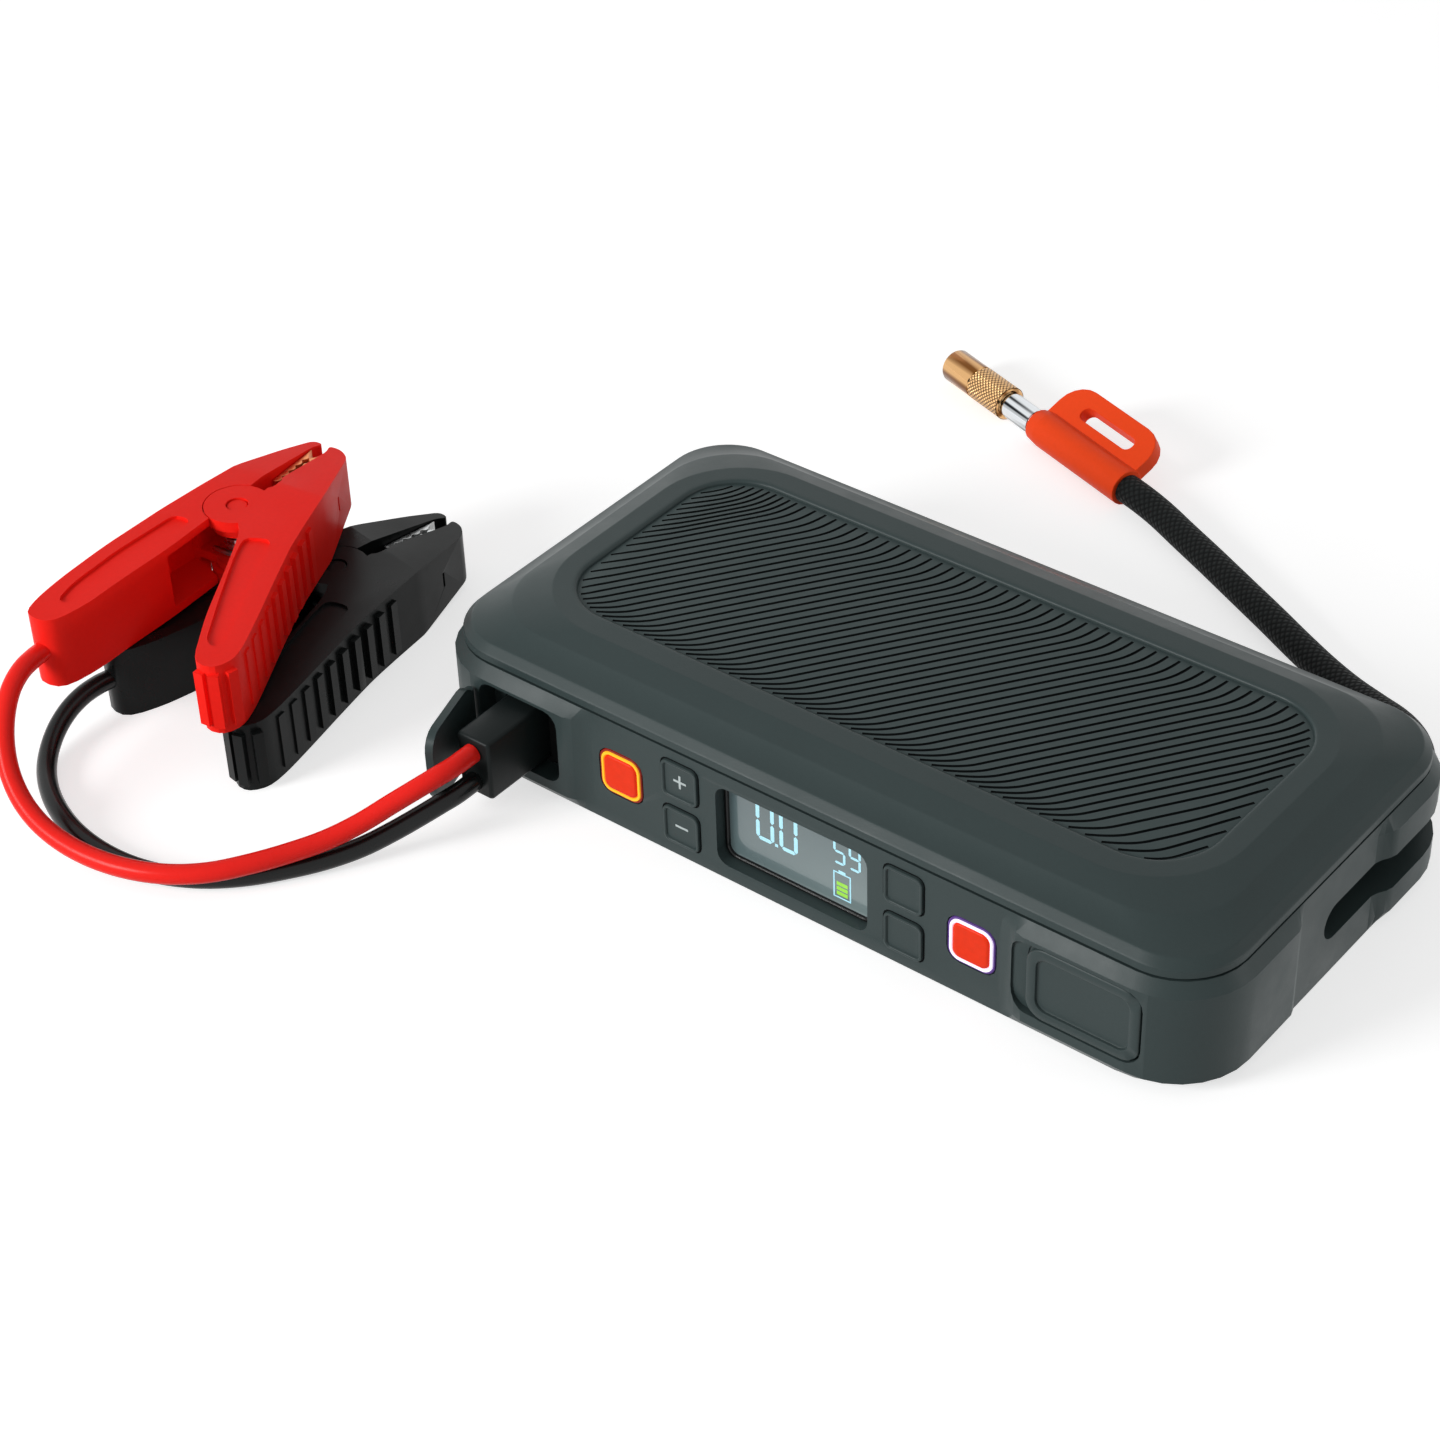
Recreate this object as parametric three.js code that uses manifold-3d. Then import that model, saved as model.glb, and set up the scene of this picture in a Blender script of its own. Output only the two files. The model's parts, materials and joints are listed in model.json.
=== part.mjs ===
// A portable jump starter pack with a built-in tyre inflator, as an assembly of separate pieces.
// Millimetres, +Z up. The origin is the middle of the case's flat underside; the console faces -Y.
import * as THREE from 'three';
import { mergeVertices } from 'three/addons/utils/BufferGeometryUtils.js';
import Module from 'manifold-3d';

const wasm = await Module();
wasm.setup();

// ---------------------------------------------------------------- driving dimensions

const FIT = 0.3; // clearance between neighbouring pieces
const BEYOND = 10; // how far a cutting tool runs past what it cuts

// Case and cover
const BODY_LENGTH = 230; // along X, at the seam
const BODY_WIDTH = 115; // along Y, at the seam
const BODY_HEIGHT = 44;
const along = (share) => share * BODY_LENGTH; // a place along X, from the middle
const CASE_HEIGHT = 33.1;
const up = (share) => share * CASE_HEIGHT; // a height on the case's sides
const SEAM_GAP = 0.8;
const SEAM_CORNER = 18;
const BASE_CORNER = 22;
const WALL = 2.6;
const FLOOR = 2.4;
const SWELL = 2.5; // how far the corner walls stand proud of the console
const SWELL_FOOT = 4; // height where the proud wall starts
const SWELL_BAND = 3.4; // height of the sloping band under the seam
const BASE_CHAMFER = 0.5;
const CONSOLE_LEFT = along(-0.27391);
const CONSOLE_RIGHT = along(0.26522);
const CONSOLE_FADE = 7.3; // length of the S-shaped step into the proud wall
const PAD_FRONT = -15; // recessed pad on the right side
const PAD_REAR = 19;
const PAD_FADE = 6;
const RIM_EDGE = 1.6; // inset of the cover's rim edge
const RIM_HEIGHT = 4.2; // rim edge above the cover's lower edge
const RIM_ROLL = 1; // height of the rim's rolled edge
const HOLLOW_RISE = 0.32; // of the climb from the rim to the shoulder, where it is half way in
const SHOULDER_INSET = 9;
const SHOULDER_CORNER = 21;
const SHOULDER_DROP = 3; // plateau above the shoulder's foot
const CROWN_RISE = 0.6; // of the climb from the shoulder to the plateau, at its crown
const CROWN_CORNER = 23;
const PLATEAU_INSET = 14.25;
const PLATEAU_CORNER = 25;
const GRIP_END_MARGIN = 21; // from the body's ends
const GRIP_WIDTH = 71.7;
const GRIP_CORNER = 17;
const GRIP_SINK = 1.1; // grip panel's face below the plateau
const GRIP_THICKNESS = 1.1;
const ROOF = 2; // cover's thickness under the grip panel
const LIP = 0.9; // case lip outside the seal
const SEAL_SEAT = 1; // depth of the seal's seat in the case rim

// Fasteners and feet
const BOSS_RADIUS = 3.6;
const SCREW_RADIUS = 1.4;
const SCREW_HEAD_RADIUS = 2.9;
const SCREW_HEAD_HEIGHT = 1.8;
const SCREW_BITE = 3.6; // length in the cover
const SCREW_SINK = 0.5;
const FRONT_BOSS_X = along(0.43478);
const FRONT_BOSS_INSET = 13.5; // behind the front edge
const REAR_BOSS_X = along(0.40435);
const REAR_BOSS_INSET = 21.5;
const FOOT_RADIUS = 7;
const FOOT_THICKNESS = 1.2;
const FOOT_X = along(0.33043);
const FOOT_INSET = 19.5; // from the front and back edges

// Console
const BUTTON_PROUD = 0.6;
const RING_PROUD = 0.4;
const BUTTON_TRAVEL = 0.6;
const FLANGE = 0.6; // beyond the cap, all round
const FLANGE_THICKNESS = 1;
const STEM_RADIUS = 1.5;
const BIG_BUTTON = 13.6; // outside of the lit ring
const BIG_BUTTON_CORNER = 3.5;
const LIGHT_RING_WIDTH = 1.3;
const BIG_BUTTON_Z = up(0.51964);
const START_BUTTON_X = along(-0.23348);
const POWER_BUTTON_X = along(0.2287);
const SMALL_BUTTON = 11.6;
const SMALL_BUTTON_CORNER = 2;
const UPPER_BUTTON_Z = up(0.73414);
const LOWER_BUTTON_Z = up(0.29909);
const LEFT_BUTTON_X = along(-0.15);
const RIGHT_BUTTON_X = along(0.14435);
const DISPLAY_X = -0.5;
const DISPLAY_Z = up(0.50755);
const DISPLAY_WIDTH = 45.9;
const DISPLAY_HEIGHT = 24.2;
const DISPLAY_CORNER = 3.5;
const DISPLAY_DEPTH = 4;
const DISPLAY_BORDER = 1.5;
const DISPLAY_FRAME = 0.7; // wall round the display's pocket
const LENS_THICKNESS = 1.2;
const BOARD_THICKNESS = 1.6;
const BOARD_CORNER = 1;
const CONTROL_BOARD_DEPTH = 13.5; // behind the console face

// USB port and its door
const DOOR_X = along(0.36783); // middle of the door's recess
const DOOR_WIDTH = 31.4;
const DOOR_Z = up(0.53474);
const DOOR_HEIGHT = 21.4;
const DOOR_THICKNESS = 2;
const DOOR_CORNER = 5;
const DOOR_RIM = 3; // width of the rim round the sunken panel
const DOOR_SINK = 0.6;
const KNUCKLE_RADIUS = 1;
const HINGE_RELIEF = 1.1; // corners cut back beside the knuckle, so that the door swings clear
const THUMB_NOTCH = 4.4;
const USB_BLOCK_WIDTH = 23.4;
const USB_BLOCK_HEIGHT = 15;
const USB_BLOCK_OFFSET = 0.4; // right of the door's middle
const USB_BLOCK_CORNER = 2;
const USB_FRAME = 2; // wall round the block
const USB_BLOCK_DEPTH = 8.5;
const USB_A_WIDTH = 13.2;
const USB_A_HEIGHT = 5.8;
const USB_C_WIDTH = 9.2;
const USB_C_HEIGHT = 3.6;
const USB_SHELL = 0.4;
const USB_BACK = 1; // thickness of a socket's rear wall
const USB_HOLE_CORNER = 0.8;
const USB_A_CORNER = 0.6;
const USB_A_TONGUE = 1.6;
const USB_C_CORNER = 1.7;
const USB_C_TONGUE = 0.7;
const USB_TONGUE_SINK = 1; // tongue's tip behind the mouth
const USB_SPREAD = 3.7; // each socket above or below the door's middle
const USB_DEPTH = 7.5;
const USB_TONGUE_MARGIN = 2;

// Jump port, its cover and the plug
const PORT_X = along(-0.37174);
const PORT_WIDTH = 26;
const PORT_Z = up(0.53776);
const PORT_HEIGHT = 22;
const PORT_CORNER = 4;
const PORT_DEPTH = 6; // behind the proud wall
const PORT_WALL = 2.4;
const PLUG_OFFSET = -0.3; // from the port's middle
const PLUG_DROP = 0.4; // below the port's middle
const PLUG_WIDTH = 10.6;
const PLUG_HEIGHT = 17.6;
const PLUG_CORNER = 1;
const PLUG_REACH = 19; // plug's rear face in front of the console plane
const PLUG_NOSE = 11.5; // engagement in the socket
const CONTACT_SPACING = 8.8;
const CONTACT_RADIUS = 2.4;
const CONTACT_LENGTH = 16;
const CONTACT_TAPER = 0.9;
const CONTACT_REACH = 5; // contact beyond the nose
const SOCKET_WIDTH = 17;
const SOCKET_HEIGHT = 20.2;
const SOCKET_CORNER = 3;
const SOCKET_DEPTH = 18.5;
const COVER_LENGTH = 25;
const COVER_THICKNESS = 2.2;
const COVER_CORNER = 5;
const COVER_KNUCKLE = 1.2; // radius
const COVER_HINGE_SIDE = 1.9; // hinge axis beside the port
const COVER_HINGE_OUT = 1.4; // hinge axis in front of the proud wall
const COVER_OPEN = 72; // degrees, as it stands

// Hose groove, hose and its end
const GROOVE_Z = up(0.49547);
const GROOVE_HEIGHT = 10.2;
const GROOVE_DEPTH = 12.5;
const GROOVE_WALL = 2.2;
const GROOVE_CORNER = 6;
const GROOVE_END_Y = -3.7;
const HOSE_DIAMETER = 8.6;
const HOSE_INSET = 7.7; // hose axis behind the side pad
const HOSE_REST = 4.35; // height of its axis where it lies on the floor
const GLAND_LENGTH = 12;
const GLAND_SHOULDER = 3.6; // from the rounded end of the groove
const GLAND_RADIUS = 4.5;
const GLAND_NECK = 2.7;
const GLAND_NUT = 3; // thickness of the nut behind the wall
const GLAND_TAIL = 6; // reach of the neck behind the wall
const GLAND_TAPER = 1;
const GLAND_BOOT = 4; // tapered mouth
const SLEEVE_RADIUS = 5.4;
const SLEEVE_TIP_RADIUS = 4.9;
const SLEEVE_LENGTH = 41.3;
const SLEEVE_TAPER = 4;
const TAB_HEIGHT = 17.4; // above the hose axis
const TAB_THICKNESS = 4.6;
const TAB_CORNER = 8;
const TAB_SETBACK = 0.5; // from the sleeve's ends
const TAB_TILT = 28; // degrees above the floor
const TAB_SLOT_LENGTH = 23;
const TAB_SLOT_WIDTH = 4.4;
const TAB_SLOT_HEIGHT = 10.3;
const TAB_SLOT_CORNER = 2.1;
const TAB_SLOT_SHIFT = 1; // from the tab's middle, towards the hose
const FERRULE_RADIUS = 4;
const FERRULE_LENGTH = 13;
const FERRULE_STEP = 0.4;
const FERRULE_RIM = 0.8;
const CHUCK_LENGTH = 27.6;
const CHUCK_RADIUS = 4.5;
const KNURL_RADIUS = 4.75;
const KNURL_LENGTH = 15.6;
const CHUCK_BORE = 3.9;
const CHUCK_BORE_DEPTH = 9;
const CHUCK_DUCT = 1; // radius of the air duct
const CHUCK_EDGE = 0.5;
const SWIVEL_RADIUS = 2.4;
const SWIVEL_LENGTH = 6;
const HOSE_END_HEADING = 161.5; // degrees from +X
// The hose's route, from the gland's mouth and the floor.
const HOSE_ROUTE = [
  [0, 0, 16.4], [0, 11.4, 16.4], [0, 23.4, 16.4], [-0.2, 35.4, 16.4], [-1.9, 46.6, 16.3],
  [-6, 57.2, 15.4], [-12.3, 66.3, 13.4], [-20.3, 73.7, 10.6], [-29.7, 79.6, 7.6],
  [-39.9, 84.8, 5.5], [-50.5, 90, 4.55], [-61.7, 95.6, 4.35], [-74.5, 102.2, 4.35],
  [-88.5, 109.2, 4.35], [-101.9, 115.9, 4.35], [-113.8, 121.6, 4.4], [-125.2, 126.7, 4.9],
  [-132.3, 129.06, 5.4], [-139.02, 131.31, 5.4],
];

// Clamps, in their own frame: pivot at the origin, jaws towards +Y, one side face down at z = 0
const CLAMP_HEIGHT = 21;
const CLAMP_SHELL = 2.4;
const JAW_TIP_Y = 39;
const JAW_TAPER = 3.5; // how much each side narrows towards the tip
const JAW_TAPER_START = 14;
const PIVOT_DISC_RADIUS = 9;
const PIVOT_EAR = 3.2;
const INNER_EAR_RADIUS = 7.4;
const INNER_EAR = 2.6;
const PIN_RADIUS = 2.8;
const PIN_SINK = 0.4;
const SPRING_WIRE = 0.8;
const SPRING_RADIUS = 4.2;
const SPRING_LEG = [3.5, 6.6]; // where a leg leaves the coil, and its tip
const SPRING_TURNS = 3;
const SPRING_STEPS = 8; // per turn
const JAW_FACE = 2.4; // plastic jaw's inner face beside the contact line
const JAW_CONTACT = 0.35; // teeth tips beside the contact line
const JAW_PLATE_INSET = 3.3; // jaw plate's edge from the clamp's side face
const TEETH_START_Y = 17.6;
const TEETH_END_Y = 35;
const TEETH_PITCH = 3;
const TEETH_DEPTH = 1;
const TOOTH_LAND = 0.3; // flat tip, as a share of the pitch
const RIB_PITCH = 6;
const RIB_WIDTH = 2.8;
const RIB_HEIGHT = 0.9;
const RIB_COUNT = 10;
const RIB_ROOT = 2; // how deep a rib reaches into the wall
const HANDLE_SOFTNESS = 5; // reach of the curve at a handle's corner
const TIP_SOFTNESS = 2;
const RECESS_DEPTH = 0.8; // in the handles' side faces
const RECESS_SOFTNESS = 3;
const THROAT = [0.6, 13.4, 5.6, 7.4]; // opening behind the teeth: middle, width and length
const THROAT_CORNER = 2.7;
const PAD_SLOT = [0.9, 4.6, 0.6]; // mark in the smooth pad: width, height and depth
const CABLE_DIAMETER = 5.3;
const RED_PIVOT = [-104.2, 23.9]; // from the middle of the plug's rear face
const RED_TURN = 7; // degrees
const BLACK_PIVOT = [-85.9, 39.8];
const BLACK_TURN = -9.5;
const RED_LIFT = CLAMP_HEIGHT + FIT; // the red clamp lies on the black one
// Cable routes, from the middle of the plug's rear face and the floor.
const RED_ROUTE = [
  [-108.55, -44.04, 31.8], [-108.18, -47, 31.8], [-107.5, -51.7, 31.2], [-106.1, -56.9, 29.1],
  [-103.7, -61.8, 25.5], [-100.3, -66.2, 20.8], [-95.5, -69.9, 15.7], [-89.1, -72.6, 11.5],
  [-81.2, -74.2, 8.5], [-71.8, -74.6, 6.8], [-62, -73.8, 6.2], [-51.6, -71.5, 6.3],
  [-41.8, -67.4, 6.8], [-33.8, -61.5, 7.4], [-27.1, -53.7, 8.2], [-21.6, -45.1, 8.8],
  [-16.8, -37.1, 9.9], [-12.2, -29.5, 12.4], [-7.8, -22.4, 16], [-3.9, -16.1, 19.1],
  [-1.6, -11.4, 20.8], [-0.3, -7, 21.55], [0, -3, 21.8], [0, -0.3, 21.8],
];
const BLACK_ROUTE = [
  [-109.37, -24.1, 10.5], [-109.87, -27.1, 10.5], [-110.5, -32, 9.8], [-110.6, -37.2, 8.2],
  [-109.5, -42.8, 6], [-106.6, -48.6, 4], [-101.7, -54.3, 2.95], [-94.5, -59.7, 2.75],
  [-86.2, -63.9, 2.75], [-76.8, -66.9, 2.75], [-66.6, -68.3, 2.75], [-56.4, -67.8, 2.75],
  [-46.6, -65.2, 2.75], [-37.8, -60.5, 2.75], [-30.2, -53.9, 2.75], [-23.8, -45.9, 2.75],
  [-18.1, -37.8, 3.1], [-12.8, -29.8, 4.5], [-8, -22.5, 7.3], [-3.9, -16.1, 10.3],
  [-1.6, -11.4, 12], [-0.3, -7, 12.75], [0, -3, 13], [0, -0.3, 13],
];

// Inside
const BATTERY_LENGTH = 84;
const BATTERY_WIDTH = 64;
const BATTERY_HEIGHT = 24;
const BATTERY_CORNER = 3;
const BATTERY_END_GAP = 1.4; // from the rear left boss
const MAIN_BOARD_INSET = 2;
const MOTOR_RADIUS = 14;
const MOTOR_LENGTH = 30;
const MOTOR_X = along(0.03478);
const MOTOR_SHARE = 0.4435; // of the spare room along Y, in front of the motor
const HEAD_SHARE = 0.1386; // of the spare room, behind the cylinder head
const MOTOR_SHOULDER = 2;
const DRIVE_Z = 18;
const GEARBOX_PLATE = 4;
const PLATE_MARGIN = 12; // plate's edge beyond an axle
const PLATE_HEIGHT = 27;
const PLATE_DROP = 1; // plate's middle below the axles
const PLATE_CORNER = 3;
const GEAR_MODULE = 0.7;
const PINION_TEETH = 10;
const CRANK_TEETH = 40;
const GEAR_BACKLASH = 0.35;
const GEAR_WIDTH = 6;
const TOOTH_TIP = 0.6; // in modules beyond the pitch circle
const TOOTH_ROOT = -0.9;
const TOOTH_PROFILE = [[-0.34, TOOTH_ROOT], [-0.14, TOOTH_TIP], [0.14, TOOTH_TIP], [0.34, TOOTH_ROOT]];
const AXLE_RADIUS = 2;
const CRANK_THROW = 5;
const CRANK_PIN_RADIUS = 1.5;
const CYLINDER_RADIUS = 12;
const CYLINDER_BORE = 9;
const CYLINDER_LENGTH = 20;
const PISTON_LENGTH = 8;
const HEAD_CLEARANCE = 0.6;
const ROD_THICKNESS = 4;
const ROD_HALF = 2.5; // half its depth
const ROD_GAP = 1; // between the crank gear and the rod
const BIG_END_RADIUS = 4;
const HEAD_THICKNESS = 4.5;
const HEAD_CORNER = 3;
const PIPE_RADIUS = 2.2;
const PIPE_LEAD = 7; // straight length at each end
const PIPE_WAY = [[-19.3, 43, 4], [-15.3, 24.5, 9], [-10.3, 6.5, 7], [-1, -9.5, -1]]; // from the gland's tail

// ---------------------------------------------------------------- values worked out from them

const front = -BODY_WIDTH / 2;
const right = BODY_LENGTH / 2;
const back = BODY_WIDTH / 2;
const proudFront = front - SWELL;
const insideFront = front + WALL;
const usbFront = proudFront + DOOR_THICKNESS + 2 * FIT;
const socketFront = proudFront + PORT_DEPTH - FIT;
const plugTip = socketFront + PLUG_NOSE;
const contactTip = plugTip + CONTACT_REACH;
const contactRear = contactTip - CONTACT_LENGTH;
const coverLow = CASE_HEIGHT + SEAM_GAP;
const sealFloor = CASE_HEIGHT - SEAL_SEAT;
const screwTip = coverLow + SCREW_BITE;
const hoseX = right - HOSE_INSET;
const controlBoardFront = front + CONTROL_BOARD_DEPTH;
const doorLeft = DOOR_X - DOOR_WIDTH / 2;
const doorRight = DOOR_X + DOOR_WIDTH / 2;
const doorHingeX = doorRight - KNUCKLE_RADIUS;
const doorLow = DOOR_Z - DOOR_HEIGHT / 2;
const doorHigh = DOOR_Z + DOOR_HEIGHT / 2;
const usbX = DOOR_X + USB_BLOCK_OFFSET;
const usbAZ = DOOR_Z + USB_SPREAD;
const usbCZ = DOOR_Z - USB_SPREAD;
const plugX = PORT_X + PLUG_OFFSET;
const plugZ = PORT_Z - PLUG_DROP;
const plugRear = front - PLUG_REACH;
const plugPlace = [plugX, plugRear];
const hosePlace = [hoseX, GROOVE_END_Y + GLAND_LENGTH + FIT];
const coverHingeX = PORT_X - PORT_WIDTH / 2 - COVER_HINGE_SIDE;
const gripLength = BODY_LENGTH - 2 * GRIP_END_MARGIN;
const frontBossY = front + FRONT_BOSS_INSET;
const rearBossY = back - REAR_BOSS_INSET;
const footY = back - FOOT_INSET;
const glandTail = GROOVE_END_Y - GROOVE_WALL - FIT - GLAND_TAIL;
const gripFloor = BODY_HEIGHT - GRIP_SINK - GRIP_THICKNESS - FIT;
const bossPlaces = [
  ['front_left', -FRONT_BOSS_X, frontBossY], ['front_right', FRONT_BOSS_X, frontBossY],
  ['rear_left', -REAR_BOSS_X, rearBossY], ['rear_right', REAR_BOSS_X, rearBossY],
];
const footPlaces = [
  ['front_left', -FOOT_X, -footY], ['front_right', FOOT_X, -footY],
  ['rear_left', -FOOT_X, footY], ['rear_right', FOOT_X, footY],
];
const smallButtonPlaces = [
  ['plus_button', LEFT_BUTTON_X, UPPER_BUTTON_Z], ['minus_button', LEFT_BUTTON_X, LOWER_BUTTON_Z],
  ['unit_button', RIGHT_BUTTON_X, UPPER_BUTTON_Z], ['air_button', RIGHT_BUTTON_X, LOWER_BUTTON_Z],
];

// ---------------------------------------------------------------- geometry helpers

function solid(geometry) {
  const plain = geometry.clone();
  plain.deleteAttribute('normal');
  plain.deleteAttribute('uv');
  const merged = mergeVertices(plain, 1e-4);
  const place = merged.attributes.position;
  const corner = (i) => new THREE.Vector3().fromBufferAttribute(place, i);
  const triangles = [];
  let volume = 0;
  for (let i = 0; i < merged.index.count; i += 3) {
    const [a, b, c] = [0, 1, 2].map((k) => merged.index.getX(i + k));
    if (a === b || b === c || c === a) continue;
    triangles.push([a, b, c]);
    volume += corner(a).dot(corner(b).cross(corner(c)));
  }
  const outward = volume > 0 ? triangles : triangles.map(([a, b, c]) => [a, c, b]);
  return new wasm.Manifold(new wasm.Mesh({
    numProp: 3,
    vertProperties: Float32Array.from(place.array),
    triVerts: Uint32Array.from(outward.flat()),
  }));
}

function asGeometry(shape) {
  if (shape.isBufferGeometry) return shape;
  const { vertProperties, triVerts } = shape.getMesh();
  const geometry = new THREE.BufferGeometry();
  geometry.setAttribute('position', new THREE.BufferAttribute(Float32Array.from(vertProperties), 3));
  geometry.setIndex(new THREE.BufferAttribute(Uint32Array.from(triVerts), 1));
  return geometry;
}

function piece(name, shape, material) {
  const geometry = asGeometry(shape);
  geometry.computeVertexNormals();
  const mesh = new THREE.Mesh(geometry, material);
  mesh.name = name;
  return mesh;
}

function join(first, ...others) {
  return others.reduce((whole, other) => whole.add(other), first);
}

function cut(body, ...tools) {
  return tools.reduce((rest, tool) => rest.subtract(tool), body);
}

function block(xs, ys, zs) {
  const geometry = new THREE.BoxGeometry(xs[1] - xs[0], ys[1] - ys[0], zs[1] - zs[0]);
  geometry.translate((xs[0] + xs[1]) / 2, (ys[0] + ys[1]) / 2, (zs[0] + zs[1]) / 2);
  return solid(geometry);
}

// A flat outline pushed along an axis. Points are (x, y) for z, (x, z) for y and (y, z) for x.
function prism(points, axis, from, to) {
  const shape = new THREE.Shape(points.map(([u, v]) => new THREE.Vector2(u, v)));
  const geometry = new THREE.ExtrudeGeometry(shape, { depth: to - from, bevelEnabled: false });
  if (axis === 'z') geometry.translate(0, 0, from);
  if (axis === 'y') geometry.rotateX(Math.PI / 2).translate(0, to, 0);
  if (axis === 'x') {
    geometry.applyMatrix4(new THREE.Matrix4().set(0, 0, 1, from, 1, 0, 0, 0, 0, 1, 0, 0, 0, 0, 0, 1));
  }
  return solid(geometry);
}

function roundRect(u, v, width, height, radius, steps = 4) {
  const points = [];
  const corners = [[1, 1], [-1, 1], [-1, -1], [1, -1]];
  corners.forEach(([su, sv], quarter) => {
    for (let i = 0; i <= steps; i += 1) {
      const angle = (quarter + i / steps) * (Math.PI / 2);
      points.push([
        u + su * (width / 2 - radius) + radius * Math.cos(angle),
        v + sv * (height / 2 - radius) + radius * Math.sin(angle),
      ]);
    }
  });
  return points;
}

function disc(u, v, radius, sides = 24) {
  const points = [];
  for (let i = 0; i < sides; i += 1) {
    const angle = (i / sides) * 2 * Math.PI;
    points.push([u + radius * Math.cos(angle), v + radius * Math.sin(angle)]);
  }
  return points;
}

// A profile of (radius, distance along the axis) turned about an axis through a point.
function turned(profile, axis, at = [0, 0, 0], sides = 24) {
  const outline = profile.map(([r, t]) => new THREE.Vector2(r, t));
  const geometry = new THREE.LatheGeometry(outline, sides);
  if (axis === 'z') geometry.rotateX(Math.PI / 2);
  if (axis === 'x') geometry.rotateZ(-Math.PI / 2);
  geometry.translate(...at);
  return solid(geometry);
}

function tube(points, radius, sides, steps, from = [0, 0]) {
  const places = points.map(([x, y, z]) => new THREE.Vector3(from[0] + x, from[1] + y, z));
  const route = new THREE.CatmullRomCurve3(places, false, 'centripetal');
  const section = new THREE.Shape(disc(0, 0, radius, sides).map(([u, v]) => new THREE.Vector2(u, v)));
  return solid(new THREE.ExtrudeGeometry(section, { extrudePath: route, steps }));
}

// Rings of points, all of one count and counter-clockwise from above, joined and capped.
function loft(rings) {
  const count = rings[0].length;
  const index = [];
  for (let level = 0; level + 1 < rings.length; level += 1) {
    for (let i = 0; i < count; i += 1) {
      const a = level * count + i;
      const b = level * count + ((i + 1) % count);
      index.push(a, b, b + count, a, b + count, a + count);
    }
  }
  const caps = [0, rings.length - 1];
  caps.forEach((level) => {
    const flat = rings[level].map((p) => new THREE.Vector2(p.x, p.y));
    THREE.ShapeUtils.triangulateShape(flat, []).forEach((face) => {
      const turn = level === 0 ? [face[0], face[2], face[1]] : face;
      index.push(...turn.map((i) => level * count + i));
    });
  });
  const geometry = new THREE.BufferGeometry().setFromPoints(rings.flat());
  geometry.setIndex(index);
  return solid(geometry);
}

// ---------------------------------------------------------------- the body's outline

function fade(low, high, from, to) {
  return [0, 1 / 3, 2 / 3, 1].map((t) => [low + (high - low) * t, from + (to - from) * t * t * (3 - 2 * t)]);
}

const frontStations = [
  ...fade(CONSOLE_LEFT - CONSOLE_FADE, CONSOLE_LEFT, 1, 0),
  ...fade(CONSOLE_RIGHT, CONSOLE_RIGHT + CONSOLE_FADE, 0, 1),
];
const frontReach = CONSOLE_FADE + Math.max(-CONSOLE_LEFT, CONSOLE_RIGHT);
const sideReach = PAD_FADE + Math.max(-PAD_FRONT, PAD_REAR);
const ARC_STEPS = 7;
const rightStations = [
  ...fade(PAD_FRONT - PAD_FADE, PAD_FRONT, 1, 0),
  ...fade(PAD_REAR, PAD_REAR + PAD_FADE, 0, 1),
];

// One level of the body: the seam outline drawn in by inset, with its proud walls swelled.
function bodyRing(z, inset, corner, swell = 0) {
  const x = right - inset;
  const y = back - inset;
  const frontSqueeze = Math.min(1, (x - corner - FIT) / frontReach);
  const sideSqueeze = Math.min(1, (y - corner - FIT) / sideReach);
  const ring = [];
  const arc = (sx, sy, quarter) => {
    for (let i = 0; i <= ARC_STEPS; i += 1) {
      const angle = (quarter + i / ARC_STEPS) * (Math.PI / 2);
      const reach = corner + swell;
      ring.push(new THREE.Vector3(
        sx * (x - corner) + reach * Math.cos(angle), sy * (y - corner) + reach * Math.sin(angle), z));
    }
  };
  frontStations.forEach(([at, share]) =>
    ring.push(new THREE.Vector3(at * frontSqueeze, -y - swell * share, z)));
  arc(1, -1, 3);
  rightStations.forEach(([at, share]) =>
    ring.push(new THREE.Vector3(x + swell * share, at * sideSqueeze, z)));
  arc(1, 1, 0);
  arc(-1, 1, 1);
  arc(-1, -1, 2);
  return ring;
}

// ---------------------------------------------------------------- materials

function paint(color, roughness, metalness = 0) {
  return () => new THREE.MeshStandardMaterial({ color, roughness, metalness });
}

const slate = paint(0x3f494b, 0.55);
const slateLight = paint(0x4d595a, 0.6);
const blackPlastic = paint(0x17191a, 0.5);
const blackRubber = paint(0x141415, 0.8);
const orange = paint(0xf5491d, 0.5);
const amberLight = paint(0xffb13a, 0.4);
const whiteLight = paint(0xf0e9ff, 0.4);
const redPlastic = paint(0xe32a22, 0.45);
const redCable = paint(0xe02a22, 0.45);
const copper = paint(0xc77d4e, 0.35, 1);
const steel = paint(0xb8bcc0, 0.3, 1);
const chrome = paint(0xe2e6ea, 0.1, 1);
const brass = paint(0xc49a4e, 0.3, 1);
const glass = paint(0x1b2426, 0.08);
const screen = paint(0x86999b, 0.5);
const board = paint(0x1d5a3a, 0.6);
const foil = paint(0x2c5fa8, 0.5);
const aluminium = paint(0xa9adb0, 0.4, 0.9);
const nylon = paint(0xe8e4d8, 0.6);

// ---------------------------------------------------------------- case and cover

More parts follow.
